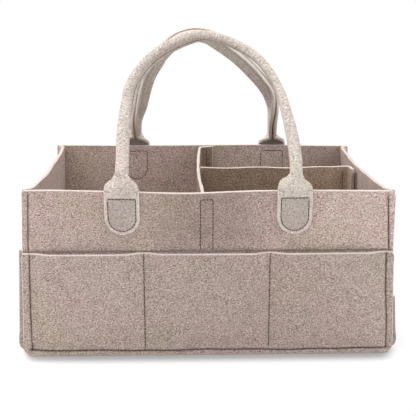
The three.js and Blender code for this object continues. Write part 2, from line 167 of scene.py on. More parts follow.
def spread(line: Line) -> np.ndarray:
    """Close, even points along a line that is given by its corners.

    Args:
        line: The corner points.

    Returns:
        The points, about a millimetre apart.
    """
    corners = np.array(line, float)
    measure = distances(corners)
    count = max(2, int(measure[-1] / RUN_SPACING))
    return read_line(np.linspace(0, measure[-1], count), measure, corners)


def bisected(low: float, high: float, too_low: Callable[[float], bool], rounds: int) -> float:
    """Halves a range again and again.

    Args:
        low: The range's lower end.
        high: Its upper end.
        too_low: Says whether a value lies below the wanted one.
        rounds: How often the range is halved.

    Returns:
        The last value that was tried.
    """
    for _ in range(rounds):
        middle = (low + high) / 2
        low, high = (middle, high) if too_low(middle) else (low, middle)
    return middle


@dataclass(frozen=True)
class CaddySizes:
    """The caddy's sizes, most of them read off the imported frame."""

    rim: float
    pocket_rim: float
    low_rim: float
    base_top: float
    foot_half: float
    inner_depth: float
    lean: float = 0.0065
    side_bow: float = 0.0055
    felt: float = 0.004
    gap: float = 0.0003
    flange: float = 0.010
    side_flange: float = 0.0172
    flange_taper: float = 0.0020
    seam_inset: float = 0.0064
    foot_round: float = 0.010
    rim_round: float = 0.0055
    bend: float = 0.0031
    open_bend: float = 0.0074
    pocket_bend: float = 0.0022
    pocket_gape: float = 0.006
    side_pocket_gape: float = 0.008
    pocket_ramp: float = 0.020
    pocket_seams: tuple[float, float] = (-0.068, 0.064)
    bottom_seam: float = 0.0055

    @classmethod
    def from_frame(cls) -> "CaddySizes":
        """Reads the driving sizes off the CAD nodes' boxes.

        Returns:
            The sizes.
        """
        gap = cls.gap
        return cls(
            rim=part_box("front_panel")[1].z,
            pocket_rim=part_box("front_pocket")[1].z,
            low_rim=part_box("right_pocket")[1].z,
            base_top=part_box("base_panel")[1].z,
            foot_half=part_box("base_panel")[1].x + gap / 2,
            inner_depth=-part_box("front_panel")[1].y - gap / 2,
        )

    def layer(self, number: int) -> float:
        """The distance of a layer's middle surface from the inside of the wall, which is layer 0."""
        return self.gap / 2 + self.felt / 2 + number * (self.felt + self.gap)

    def rise(self, z: np.ndarray) -> np.ndarray:
        """Share of the way from the base to the rim."""
        return np.clip((z - self.base_top) / (self.rim - self.base_top), 0, 1)

    def inner_half(self, z: np.ndarray) -> np.ndarray:
        """Half the inside length between the side walls at their corners."""
        return self.foot_half - self.lean * self.rise(z)

    def bow(self, y: np.ndarray, z: np.ndarray) -> np.ndarray:
        """How far a side wall leans inwards at depth y."""
        share = np.clip((z - self.base_top) / (self.low_rim - self.base_top), 0, 1)
        return self.side_bow * share * (1 - (y / self.inner_depth) ** 2)

    def open_share(self, z: np.ndarray) -> np.ndarray:
        """How open the pockets are at height z."""
        return np.sqrt(np.clip((z - self.base_top) / (self.pocket_rim / 2), 0, 1))


@dataclass(frozen=True)
class Settling:
    """How the whole soft caddy has settled: a bowed front rim, leaning side rims and slow waves."""

    from_foot: Slope = Slope(0.015, 0.18)
    from_pockets: Slope = Slope(0.115, 0.18)
    into_handles: Slope = Slope(0.20, 0.27)
    off_middle: Slope = Slope(0.02, 0.12)
    near_side: Slope = Slope(0.13, 0.18)
    at_side: Slope = Slope(0.14, 0.18)
    front_bows: tuple[Swell, ...] = (
        Swell(-0.026, 0.046, 0.0050), Swell(-0.17, 0.05, -0.0022), Swell(0.176, 0.04, 0.0028))
    front_droops: tuple[Swell | Slope, ...] = (
        Swell(-0.030, 0.05, 0.0012), Swell(-0.18, 0.05, -0.0012), Slope(0.185, 0.203, 0.0026))
    back_lift: float = 0.0031
    back_tilt: float = 0.004
    back_wave: Wave = Wave(0.0006, 0.043, phase=0.6)
    corner_height: Slope = Slope(0.06, 0.17)
    corner_lean: Slope = Slope(0.15, 0.19, 0.0011)
    right_lean: Slope = Slope(-0.06, 0.11, 0.0042)
    left_leans: tuple[Swell | Slope, ...] = (Slope(0.08, 0.12, 0.0016), Swell(0.03, 0.05, -0.0028))
    long_waves: tuple[Wave, ...] = (Wave(0.00055, 0.031, 0.052, 0.7), Wave(0.00033, 0.017, -0.039, 2.1))
    side_waves: tuple[Wave, ...] = (Wave(0.0006, 0.028, 0.047, 1.9), Wave(0.0003, 0.015, -0.06))

    def moved(self, points: np.ndarray) -> np.ndarray:
        """Moves points as the felt has settled.

        Args:
            points: Places in the frame, with x, y and z last.

        Returns:
            The moved places. Neighbouring layers move alike, so nothing touches that did not before.
        """
        x, y, z = points[..., 0], points[..., 1], points[..., 2]
        below_handles = 1 - self.into_handles.of(z)
        up = self.from_foot.of(z) * below_handles
        above = self.from_pockets.of(z) * below_handles
        front, back = self.off_middle.of(-y), self.off_middle.of(y)
        moved = np.array(points, float)
        moved[..., 0] -= front * self.corner_height.of(z) * self.corner_lean.of(-x)
        moved[..., 0] -= above * self.near_side.of(x) * self.right_lean.of(y)
        moved[..., 0] += above * self.near_side.of(-x) * total(self.left_leans, y)
        moved[..., 0] += up * self.at_side.of(np.abs(x)) * total(self.side_waves, y, z)
        moved[..., 1] -= front * above * total(self.front_bows, x)
        moved[..., 1] += up * (front + back) * total(self.long_waves, x, z)
        moved[..., 2] -= front * above * total(self.front_droops, x)
        moved[..., 2] += back * above * (self.back_lift - self.back_tilt * x + self.back_wave.of(x))
        return moved


SETTLING = Settling()


@dataclass
class SeamLine:
    """A sewn line on a sheet, in the sheet's own flat measure."""

    points: Line
    kind: Seam = Seam.UPRIGHT


@dataclass
class SeamRun:
    """A run of thread: its places and the felt's normals along it."""

    points: np.ndarray
    normals: np.ndarray


class FeltSheet:
    """One cut sheet of felt, made as a grid over its middle surface with soft cut edges."""

    arris = 0.0009
    arris_steps = 3
    edge_fuzz = 0.00016
    fuzz_steps = (2.399, 1.117)
    # how much of the painted edge highlight reaches the faces beside the cut edge
    edge_spread = 0.55
    edge_shade = 0.6
    unevenness = (Wave(0.00012, 0.0113, 0.0171), Wave(0.00012, 0.0067, -0.0093, 1.3))
    grain_seed = 0.0

    def __init__(self, name: str, middle: np.ndarray, along: np.ndarray, up: np.ndarray, thickness: float,
                 seams: list[SeamLine] = ()) -> None:
        """Keeps the grid and works out its two faces.

        Args:
            name: The piece's name.
            middle: rows x columns x 3 places of the middle surface. Its normal points out of the caddy.
            along: rows x columns flat measure along the sheet.
            up: rows x columns flat measure up the sheet.
            thickness: The felt's thickness.
            seams: Sewn lines that draw the two faces in.
        """
        self.name, self.along, self.up = name, along, up
        self.middle = SETTLING.moved(middle)
        self.normal = self.normals(self.middle)
        self.half = thickness / 2 + total(self.unevenness, along, up)
        # shares of painted shade: on both faces, on the outer face alone and on the inner face alone
        self.shade, self.outer_shade, self.inner_shade = (np.zeros(along.shape) for _ in range(3))
        # how strongly the painted highlight on the cut edge shows at each place
        self.edge_highlight_share = np.ones(along.shape)
        for seam in seams:
            depth, width, shade = seam.kind.value
            near = self.nearness(seam.points, width)
            self.half -= depth * near
            # painted shade in the seam's groove
            self.shade = np.maximum(self.shade, shade * near)

    @staticmethod
    def normals(grid: np.ndarray) -> np.ndarray:
        """Unit normals of a grid, which point where columns x rows point.

        Args:
            grid: rows x columns x 3 places.

        Returns:
            rows x columns x 3 directions.
        """
        across, rising = np.gradient(grid, axis=1), np.gradient(grid, axis=0)
        normal = np.cross(across, rising)
        return normal / np.maximum(np.linalg.norm(normal, axis=-1, keepdims=True), 1e-12)

    def nearness(self, points: Line, width: float) -> np.ndarray:
        """1 on a line, fading to 0 beside it over a width.

        Args:
            points: The line's corners in the flat measure.
            width: How far the line reaches to either side.

        Returns:
            rows x columns shares.
        """
        flat = np.stack([self.along, self.up], -1)
        best = np.full(self.along.shape, np.inf)
        line = np.array(points, float)
        for start, end in zip(line[:-1], line[1:]):
            run = end - start
            share = np.clip(((flat - start) @ run) / max(run @ run, 1e-12), 0, 1)
            best = np.minimum(best, np.linalg.norm(flat - start - share[..., None] * run, axis=-1))
        return np.exp(-((best / width) ** 2))

    def border(self) -> np.ndarray:
        """The grid's outline as row and column pairs, in the order of its faces.

        Returns:
            One row and column for each place of the outline.
        """
        rows, columns = self.along.shape
        return np.array(
            [(0, j) for j in range(columns)]
            + [(i, columns - 1) for i in range(1, rows)]
            + [(rows - 1, j) for j in range(columns - 2, -1, -1)]
            + [(i, 0) for i in range(rows - 2, 0, -1)]
        )

    def outward(self, border: np.ndarray) -> np.ndarray:
        """Directions that lead off the sheet at its outline.

        Args:
            border: The outline's rows and columns.

        Returns:
            One unit direction for each place of the outline.
        """
        rows, columns = self.along.shape
        away = np.zeros((len(border), 3))
        for k, (i, j) in enumerate(border):
            inner = [(i + 1, j)] * (i == 0) + [(i - 1, j)] * (i == rows - 1)
            inner += [(i, j + 1)] * (j == 0) + [(i, j - 1)] * (j == columns - 1)
            for place in inner:
                step = self.middle[i, j] - self.middle[place]
                away[k] += step / max(np.linalg.norm(step), 1e-9)
        normal = self.normal[border[:, 0], border[:, 1]]
        away -= (away * normal).sum(1, keepdims=True) * normal
        return away / np.maximum(np.linalg.norm(away, axis=1, keepdims=True), 1e-9)

    def profile(self) -> list[tuple[float, float, float, float]]:
        """The rounded cut edge from face to face: how far out, how high, on which side and how strong its
        painted highlight is.
        """
        turns = [(math.pi / 2) * k / self.arris_steps for k in range(1, self.arris_steps + 1)]
        outer = [(math.sin(a), math.cos(a), 1.0, k / self.arris_steps) for k, a in enumerate(turns, 1)]
        inner = [(reach, -lift, -1.0, mark) for reach, lift, _, mark in reversed(outer)]
        return [*outer, (1.0, 0.0, 0.0, 1.0), *inner]

    def build(self) -> bpy.types.Object:
        """Makes the closed mesh with its two faces and its rounded cut edge.

        Returns:
            The piece.
        """
        rows, columns = self.along.shape
        border = self.border()
        bi, bj = border[:, 0], border[:, 1]
        away = self.outward(border)
        self.middle[bi, bj] -= away * self.arris
        flat = np.stack([self.along, self.up, np.zeros_like(self.up)], -1) + self.grain_seed
        points, grain, marks, shades = [], [], [], []
        # the painted highlight along the cut edge, spreading onto the faces beside it
        face_mark = np.zeros((rows, columns))
        face_mark[bi, bj] = self.edge_spread
        for side, own in ((1, self.outer_shade), (-1, self.inner_shade)):
            off = side * self.half[..., None]
            points.append((self.middle + self.normal * off).reshape(-1, 3))
            grain.append((flat + [0, 0, 1] * off).reshape(-1, 3))
            marks.append((face_mark * self.edge_highlight_share).ravel())
            shades.append(np.maximum(self.shade, own).ravel())
        normal, half, ring = self.normal[bi, bj], self.half[bi, bj], len(border)
        rough = np.sin(np.arange(ring) * self.fuzz_steps[0]) * np.cos(np.arange(ring) * self.fuzz_steps[1])
        profile = self.profile()
        for reach, lift, side, mark in profile:
            out = np.full(ring, reach * self.arris)
            rise = side * (half - self.arris) + lift * self.arris
            fuzz = self.edge_fuzz * rough if side == 0 else 0.0
            points.append(self.middle[bi, bj] + away * (out + fuzz)[:, None] + normal * rise[:, None])
            grain.append(flat[bi, bj] + np.stack([out, out, rise], -1))
            marks.append(self.edge_highlight_share[bi, bj] * (self.edge_spread + (1 - self.edge_spread) * mark))
            shades.append(self.shade[bi, bj] * self.edge_shade)
        count = rows * columns
        index = np.arange(count).reshape(rows, columns)
        quads = [index[:-1, :-1], index[:-1, 1:], index[1:, 1:], index[1:, :-1]]
        quads = np.stack(quads, -1).reshape(-1, 4)
        rim = index[bi, bj]
        loops = [2 * count + k * ring + np.arange(ring) for k in range(len(profile))]
        loops = [rim, *loops, rim + count]
        walls = [np.stack([np.roll(low, -1), low, high, np.roll(high, -1)], -1)
                 for low, high in zip(loops[:-1], loops[1:])]
        polygons = np.concatenate([quads, quads[:, ::-1] + count, *walls])
        made = new_mesh_object(self.name, np.concatenate(points), polygons)
        # the painted edge highlight and the painted shade go to the material with the felt's places
        store(made, "cut_edge_highlight", "FLOAT", np.concatenate(marks))
        store(made, "felt_shade", "FLOAT", np.concatenate(shades))
        store(made, "felt_place", "FLOAT_VECTOR", np.concatenate(grain))
        return made

    def track(self, line: Line, face: Face) -> SeamRun:
        """A line of the flat sheet as it runs over one face of the finished sheet.

        Args:
            line: Corner points in the flat measure.
            face: The face that it runs over.

        Returns:
            The places and the face's normals along the line.
        """
        i, j = self.cell(spread(line))
        outward = face.value * self.normal
        surface = self.middle + outward * self.half[..., None]
        return SeamRun(sample(surface, i, j), sample(outward, i, j))

    def cell(self, flat: np.ndarray) -> tuple[np.ndarray, np.ndarray]:
        """Fractional rows and columns of flat places, on a grid whose lines are straight enough.

        Args:
            flat: Places in the flat measure.

        Returns:
            The rows and the columns.
        """
        middle_row = self.along[self.along.shape[0] // 2]
        middle_column = self.up[:, self.up.shape[1] // 2]
        j = np.interp(flat[:, 0], middle_row, np.arange(len(middle_row)))
        i = np.interp(flat[:, 1], middle_column, np.arange(len(middle_column)))
        return i, j


def sample(grid: np.ndarray, i: np.ndarray, j: np.ndarray) -> np.ndarray:
    """Reads a grid between its points.

    Args:
        grid: rows x columns x 3 values.
        i: Fractional rows.
        j: Fractional columns.

    Returns:
        The values at each place.
    """
    i0 = np.clip(np.floor(i).astype(int), 0, grid.shape[0] - 2)
    j0 = np.clip(np.floor(j).astype(int), 0, grid.shape[1] - 2)
    u, v = (i - i0)[:, None], (j - j0)[:, None]
    low = grid[i0, j0] * (1 - v) + grid[i0, j0 + 1] * v
    high = grid[i0 + 1, j0] * (1 - v) + grid[i0 + 1, j0 + 1] * v
    return low * (1 - u) + high * u


def new_mesh_object(name: str, points: np.ndarray, polygons: np.ndarray) -> bpy.types.Object:
    """Makes a smooth mesh object at the origin from points and equal polygons.

    Args:
        name: The object's name.
        points: Its vertices.
        polygons: Rows of vertex numbers, each row as long as the others.

    Returns:
        The object, linked to the scene.
    """
    mesh = bpy.data.meshes.new(name)
    sides = polygons.shape[1]
    mesh.vertices.add(len(points))
    mesh.vertices.foreach_set("co", points.astype(np.float32).ravel())
    mesh.loops.add(polygons.size)
    mesh.loops.foreach_set("vertex_index", polygons.astype(np.int32).ravel())
    mesh.polygons.add(len(polygons))
    mesh.polygons.foreach_set("loop_start", np.arange(0, polygons.size, sides, dtype=np.int32))
    mesh.polygons.foreach_set("use_smooth", np.ones(len(polygons), bool))
    mesh.update(calc_edges=True)
    made = bpy.data.objects.new(name, mesh)
    bpy.context.scene.collection.objects.link(made)
    return made


def store(piece: bpy.types.Object, name: str, kind: str, values: np.ndarray) -> None:
    """Keeps one value a vertex on the piece, for its material.

    Args:
        piece: The piece.
        name: The attribute's name.
        kind: The attribute's type.
        values: A number or vector for each vertex.
    """
    attribute = piece.data.attributes.new(name, kind, "POINT")
    key = "vector" if kind == "FLOAT_VECTOR" else "value"
    attribute.data.foreach_set(key, values.astype(np.float32).ravel())


def select_only(piece: bpy.types.Object, kind: str, wanted: Callable) -> None:
    """Selects the active piece's vertices or edges that are wanted, and nothing else.

    Args:
        piece: The active piece.
        kind: VERT or EDGE.
        wanted: Says whether a vertex or edge is wanted.
    """
    bpy.ops.object.mode_set(mode="EDIT")
    bpy.ops.mesh.select_mode(type=kind)
    bpy.ops.mesh.select_all(action="DESELECT")
    bpy.ops.object.mode_set(mode="OBJECT")
    for part in piece.data.vertices if kind == "VERT" else piece.data.edges:
        part.select = bool(wanted(part))


@dataclass(frozen=True)
class Spacing:
    """How closely the lines of a sheet's grid lie at its edges and beside its seams."""

    beside: tuple[float, ...] = (-0.004, -0.0026, -0.0016, -0.0008, 0, 0.0008, 0.0016, 0.0026, 0.004)
    cleared: float = 0.0055
    edge: float = 0.0011
    margin: float = 0.0018
    least: float = 0.0006

    def stations(self, start: float, end: float, step: float, dense: list[float] = ()) -> np.ndarray:
        """Places from start to end, about a step apart, and closer around each dense place.

        Args:
            start: The first place.
            end: The last place.
            step: The distance between the places.
            dense: Places that get close neighbours.

        Returns:
            The places in rising order, none of them too close to the next.
        """
        even = np.linspace(start, end, max(2, round((end - start) / step) + 1))
        places = [p for p in even if not any(abs(p - d) < self.cleared for d in dense)]
        near = (d + offset for d in dense for offset in self.beside)
        places += [p for p in near if start + self.margin < p < end - self.margin]
        kept = [start, start + self.edge]
        for place in sorted(places):
            if place - kept[-1] > self.least:
                kept.append(place)
        return np.array([p for p in kept if end - p > self.margin] + [end - self.edge, end])


SPACING = Spacing()


class Stitcher:
    """Sews runs with one small stitch that is modelled once and copied along them."""

    stitch = 0.0031
    pitch = 0.0037
    radius = 0.00042
    sink = 0.00012
    end_share = 0.2
    dip_share = 0.5
    slant = 0.05
    slant_step = 2.4

    def __init__(self) -> None:
        """Models the one stitch: a ball drawn out along its run, with both ends dipping into the felt."""
        bpy.ops.object.select_all(action="DESELECT")
        bpy.ops.mesh.primitive_uv_sphere_add(
            segments=6, ring_count=5, radius=self.radius, rotation=(0, math.pi / 2, 0))
        stitch = bpy.context.object
        bpy.ops.object.transform_apply(location=False, rotation=True, scale=True)
        reach = (self.stitch - 2 * self.radius) / 2
        for end in (-1, 1):
            select_only(stitch, "VERT", lambda v, end=end: v.co.x * end > self.radius * self.end_share)
            bpy.ops.object.mode_set(mode="EDIT")
            bpy.ops.transform.translate(value=(end * reach, 0, -self.radius * self.dip_share))
            bpy.ops.object.mode_set(mode="OBJECT")
        mesh = stitch.data
        mesh.calc_loop_triangles()
        self.points = np.array([v.co for v in mesh.vertices], float)
        self.triangles = np.array([t.vertices for t in mesh.loop_triangles], int)
        bpy.data.objects.remove(stitch)

    def sew(self, name: str, runs: list[SeamRun], pitch: float | None = None) -> bpy.types.Object:
        """Copies the stitch along each run.

        Args:
            name: The piece's name.
            runs: The runs to sew.
            pitch: The distance from one stitch to the next, or None for the usual one.

        Returns:
            One object that holds all of the stitches.
        """
        pitch = pitch or self.pitch
        points, triangles = [], []
        for run in runs:
            measure = distances(run.points)
            for k in range(int(measure[-1] / pitch)):
                start = k * pitch + (pitch - self.stitch) / 2
                ends = read_line(np.array([start, start + self.stitch]), measure, run.points)
                along = ends[1] - ends[0]
                stretch = np.linalg.norm(along) / self.stitch
                along /= np.linalg.norm(along)
                up = read_line(start + self.stitch / 2, measure, run.normals)
                up -= (up @ along) * along
                up /= np.linalg.norm(up)
                slant = self.slant * math.sin(k * self.slant_step)
                across = np.cross(up, along)
                along, across = along + slant * across, across - slant * along
                centre = (ends[0] + ends[1]) / 2 + up * (self.radius - self.sink)
                shape = self.points * [stretch, 1, 1]
                triangles.append(self.triangles + len(points) * len(self.points))
                points.append(centre + shape @ np.stack([along, across, up]))
        return new_mesh_object(name, np.concatenate(points), np.concatenate(triangles))


@dataclass(frozen=True)
class FeltFinish:
    """Heathered wool felt: a ground colour with paler and darker fibres and soft patches, with painted shade
    and a painted highlight on its cut edges.

    A scale is about how many of a pattern's forms fit in a metre. A range is the part of a pattern's
    values over which its colour comes in, and a mix is the weight of each pattern in a sum.
    """

    name: str
    ground: Colour
    pale: Colour
    dark: Colour
    pink: Colour
    green: Colour
    # the colour of the painted highlight on the cut edges follows
    edge: Colour
    deep: Colour
    fleck: float = 0.92
    patch: float = 0.58
    blotch: float = 0.35
    relief: float = 0.0005
    mottle_scale: float = 640
    fine_scale: float = 1300
    blotch_scale: float = 85
    pink_scale: float = 17
    green_scale: float = 15
    # size of the patches in the painted edge highlight
    highlight_patch_scale: float = 160
    hair_turns: tuple[Triple, Triple] = ((0.3, 0.2, 0.6), (0.1, 0.5, 2.2))
    hair_scales: tuple[Triple, Triple] = ((420, 1900, 1200), (400, 1800, 1200))
    green_turn: Triple = (0.4, 0.9, 0.2)
    green_shift: Triple = (3.1, 1.7, 0.4)
    pink_range: tuple[float, float] = (0.48, 0.66)
    green_range: tuple[float, float] = (0.50, 0.68)
    blotch_range: tuple[float, float] = (0.45, 0.65)
    dark_range: tuple[float, float] = (0.50, 0.60)
    pale_range: tuple[float, float] = (0.17, 0.27)
    edge_range: tuple[float, float] = (0.3, 0.9)
    dark_mix: tuple[float, ...] = (0.55, 0.45)
    pale_mix: tuple[float, ...] = (-0.5, 0.45, 0.35)
    relief_mix: tuple[float, ...] = (0.45, 0.25, 0.35, 0.35)
    # how patchy the painted edge highlight is, and its least strength
    highlight_patch_share: float = 0.35
    highlight_patch_least: float = 0.68

    def material(self) -> bpy.types.Material:
        """Builds the felt's material on the sheet's own flat places.

        Returns:
            The material.
        """
        net = ShaderNet(bpy.data.materials.new(self.name))
        place = net.attribute("felt_place", "Vector")
        mottle = net.noise(place, self.mottle_scale, detail=3, roughness=0.65)
        fine = net.noise(place, self.fine_scale, roughness=0.7)
        hairs = [net.noise(net.turned(place, turn, scale), 1)
                 for turn, scale in zip(self.hair_turns, self.hair_scales)]
        blotch = net.noise(place, self.blotch_scale, detail=3, roughness=0.6)
        pink = net.noise(place, self.pink_scale)
        green = net.noise(net.turned(place, self.green_turn, (1, 1, 1), self.green_shift), self.green_scale)
        # patchy strength of the painted highlight on the cut edges
        patchy_highlight = net.noise(place, self.highlight_patch_scale) * self.highlight_patch_share + self.highlight_patch_least
        colour = net.blend(net.step(pink, *self.pink_range) * self.patch, self.ground, self.pink)
        colour = net.blend(net.step(green, *self.green_range) * self.patch, colour, self.green)
        share = net.step(blotch, *self.blotch_range) * (self.patch * self.blotch)
        colour = net.blend(share, colour, self.dark)
        dark = net.step(net.weighed(self.dark_mix, mottle, hairs[0]), *self.dark_range)
        pale = net.step(net.weighed(self.pale_mix, mottle, fine, hairs[1]), *self.pale_range)
        colour = net.blend(dark * self.fleck, colour, self.dark)
        colour = net.blend(pale * self.fleck, colour, self.pale)
        # painted shade, from the felt_shade attribute
        colour = net.blend(net.attribute("felt_shade", "Fac"), colour, self.deep)
        # painted highlight on the cut edges
        cut = net.step(net.attribute("cut_edge_highlight", "Fac"), *self.edge_range)
        colour = net.blend(cut * patchy_highlight, colour, self.edge)
        height = net.weighed(self.relief_mix, mottle, fine, *hairs)
        return net.finish(colour, 0.96, sheen=0.12, specular=0.1, height=height, depth=self.relief)


@dataclass(frozen=True)
class ThreadFinish:
    """Twisted sewing thread."""

    name: str
    colour: Colour
    shade: Colour
    fibre_scale: float = 1400
    relief: float = 0.0001

    def material(self) -> bpy.types.Material:
        """Builds the thread's material with the twist of its plies.

        Returns:
            The material.
        """
        net = ShaderNet(bpy.data.materials.new(self.name))
        fibre = net.noise(net.coordinates(), self.fibre_scale, roughness=0.6)
        colour = net.blend(net.step(fibre, 0.4, 0.62), self.colour, self.shade)
        return net.finish(colour, roughness=0.9, sheen=0.0, specular=0.1, height=fibre, depth=self.relief)


@dataclass(frozen=True)
class TapeFinish:
    """Woven hook-and-loop tape with its tiny pile."""

    name: str
    colour: Colour
    shade: Colour
    pile_scale: float = 1100
    tone_scale: float = 260
    relief: float = 0.0003
    mix: tuple[float, ...] = (0.7, 0.5)

    def material(self) -> bpy.types.Material:
        """Builds the tape's material: a dense grid of loops.

        Returns:
            The material.
        """
        net = ShaderNet(bpy.data.materials.new(self.name))
        place = net.coordinates()
        inputs = {"Vector": place, "Scale": self.pile_scale}
        pile = net.node("ShaderNodeTexVoronoi", {"feature": "F1"}, inputs).out("Distance")
        tone_and_painted_shade = net.noise(place, self.tone_scale, roughness=0.6)
        colour = net.blend(net.step(net.weighed(self.mix, pile, tone_and_painted_shade), 0.3, 0.75), self.shade, self.colour)
        return net.finish(colour, roughness=0.88, sheen=0.1, specular=0.2, height=pile, depth=self.relief)


class Wire:
    """One socket of a node tree, which can be used in sums and products where it carries a number."""

    def __init__(self, net: "ShaderNet", socket: bpy.types.NodeSocket) -> None:
        """Keeps the socket and the tree that it is in."""
        self.net, self.socket = net, socket

    def math(self, operation: str, other: "Wire | float") -> "Wire":
        """Adds one Math node."""
        return self.net.node("ShaderNodeMath", {"operation": operation}, {0: self, 1: other}).out(0)

    def __add__(self, other: "Wire | float") -> "Wire":
        """The sum of two values."""
        return self.math("ADD", other)

    __radd__ = __add__

    def __mul__(self, other: "Wire | float") -> "Wire":
        """The product of two values."""
        return self.math("MULTIPLY", other)

    __rmul__ = __mul__


class NodeHandle:
    """A node whose outputs are read by name or number."""

    def __init__(self, net: "ShaderNet", node: bpy.types.Node) -> None:
        """Keeps the node and the tree that it is in."""
        self.net, self.node = net, node

    def out(self, key: str | int) -> Wire:
        """One of the node's outputs."""
        return Wire(self.net, self.node.outputs[key])


class ShaderNet:
    """The nodes of a material or of the world, made by kind, settings and inputs."""

    sheen_roughness = 0.5

    def __init__(self, owner: bpy.types.Material | bpy.types.World) -> None:
        """Starts with an empty tree."""
        owner.use_nodes = True
        self.owner, self.tree = owner, owner.node_tree
        self.tree.nodes.clear()

    def node(self, kind: str, settings: dict | None = None, inputs: dict | None = None) -> NodeHandle:
        """Adds one node.

        Args:
            kind: The node's type.
            settings: Its own properties, which are set first.
            inputs: Values or wires for its sockets, by name or number.

        Returns:
            The node, ready to read its outputs.
        """
        node = self.tree.nodes.new(kind)
        for key, value in (settings or {}).items():
            setattr(node, key, value)
        for key, value in (inputs or {}).items():
            if isinstance(value, Wire):
                self.tree.links.new(value.socket, node.inputs[key])
            else:
                node.inputs[key].default_value = value
        return NodeHandle(self, node)

    def coordinates(self) -> Wire:
        """The piece's own object coordinates."""
        return self.node("ShaderNodeTexCoord").out("Object")

    def attribute(self, name: str, output: str) -> Wire:
        """A value that the piece's mesh carries."""
        return self.node("ShaderNodeAttribute", {"attribute_name": name}).out(output)

    def seen(self) -> Wire:
        """1 where the camera looks at the surface itself, 0 for light that bounces."""
        return self.node("ShaderNodeLightPath").out("Is Camera Ray")

    def turned(self, place: Wire, rotation: Triple, scale: Triple, shift: Triple = (0, 0, 0)) -> Wire:
        """A pattern's places, turned and stretched."""
        inputs = {"Vector": place, "Rotation": rotation, "Scale": scale, "Location": shift}
        return self.node("ShaderNodeMapping", None, inputs).out("Vector")

    def noise(self, place: Wire, scale: float, detail: float = 2, roughness: float = 0.5) -> Wire:
        """Soft random values of about one over the scale in size."""
        inputs = {"Vector": place, "Scale": scale, "Detail": detail, "Roughness": roughness}
        return self.node("ShaderNodeTexNoise", {"noise_dimensions": "3D"}, inputs).out("Fac")

    def step(self, value: Wire, low: float, high: float) -> Wire:
        """Rises smoothly from 0 to 1 between two values."""
        inputs = {"Value": value, "From Min": low, "From Max": high}
        return self.node("ShaderNodeMapRange", {"interpolation_type": "SMOOTHSTEP"}, inputs).out("Result")

    @staticmethod
    def weighed(weights: tuple[float, ...], *values: Wire) -> Wire:
        """The sum of values, each times its weight."""
        first, *rest = (value * weight for value, weight in zip(values, weights))
        return sum(rest, first)

    def blend(self, share: Wire, first: Wire | Colour, second: Wire | Colour) -> Wire:
        """Mixes two colours."""
        a, b = (c if isinstance(c, Wire) else (*c, 1.0) for c in (first, second))
        return self.node("ShaderNodeMix", {"data_type": "RGBA"}, {"Factor": share, 6: a, 7: b}).out(2)

    def mixed(self, share: Wire, first: Wire, second: Wire) -> Wire:
        """Mixes two surfaces or two lights."""
        return self.node("ShaderNodeMixShader", None, {0: share, 1: first, 2: second}).out(0)

    def finish(self, colour: Wire, roughness: float, sheen: float, specular: float, height: Wire,
               depth: float) -> bpy.types.Material:
        """Ends the material in one cloth-like surface.

        Args:
            colour: The base colour.
            roughness: The surface's roughness.
            sheen: The weight of the fibres' sheen.
            specular: The specular level.
            height: The relief, from 0 to 1.
            depth: The relief's height in metres.

        Returns:
            The finished material.
        """
        relief = self.node("ShaderNodeBump", None, {"Height": height, "Distance": depth, "Strength": 1.0})
        surface = self.node("ShaderNodeBsdfPrincipled", None, {
            "Base Color": colour, "Roughness": roughness, "Sheen Weight": sheen,
            "Sheen Roughness": self.sheen_roughness, "Specular IOR Level": specular,
            "Normal": relief.out("Normal"),
        })
        self.node("ShaderNodeOutputMaterial", None, {"Surface": surface.out("BSDF")})
        return self.owner


def linear(red: float, green: float, blue: float) -> Colour:
    """A screen colour from 0 to 255 as the linear values that materials take."""
    shares = [value / 255 for value in (red, green, blue)]
    return tuple(s / 12.92 if s <= 0.04045 else ((s + 0.055) / 1.055) ** 2.4 for s in shares)


class Finishes:
    """All of the caddy's materials, by the record's slots."""

    felts = {
        "wall_felt": ((192, 171, 162), (238, 222, 212), (116, 95, 83)),
        "pocket_felt": ((173, 156, 147), (217, 202, 192), (106, 88, 77)),
        "handle_felt": ((210, 199, 189), (244, 236, 228), (156, 138, 125)),
        "divider_felt": ((176, 151, 131), (218, 197, 178), (103, 81, 65)),
    }
    # colour of the painted highlight on the cut edges
    cut_edge_highlight = (219, 208, 198)
    pink_tint = (1.06, 0.96, 1.01)
    green_tint = (0.90, 0.97, 0.82)
    deep_share = 0.45

    def __init__(self) -> None:
        """Builds each material once."""
        self.by_slot = {}
        for slot, colours in self.felts.items():
            ground, pale, dark = (linear(*colour) for colour in colours)
            pink, green = (tuple(np.multiply(ground, tint)) for tint in (self.pink_tint, self.green_tint))
            # the darker colour that painted shade blends towards
            deep = tuple(np.multiply(dark, self.deep_share))
            finish = FeltFinish(slot, ground, pale, dark, pink, green, linear(*self.cut_edge_highlight), deep)
            self.by_slot[slot] = finish.material()
        thread = ThreadFinish("seam_thread", linear(82, 62, 52), linear(46, 33, 27))
        tape = TapeFinish("fastening_strip", linear(176, 163, 152), linear(128, 116, 107))
        for finish in (thread, tape):
            self.by_slot[finish.name] = finish.material()


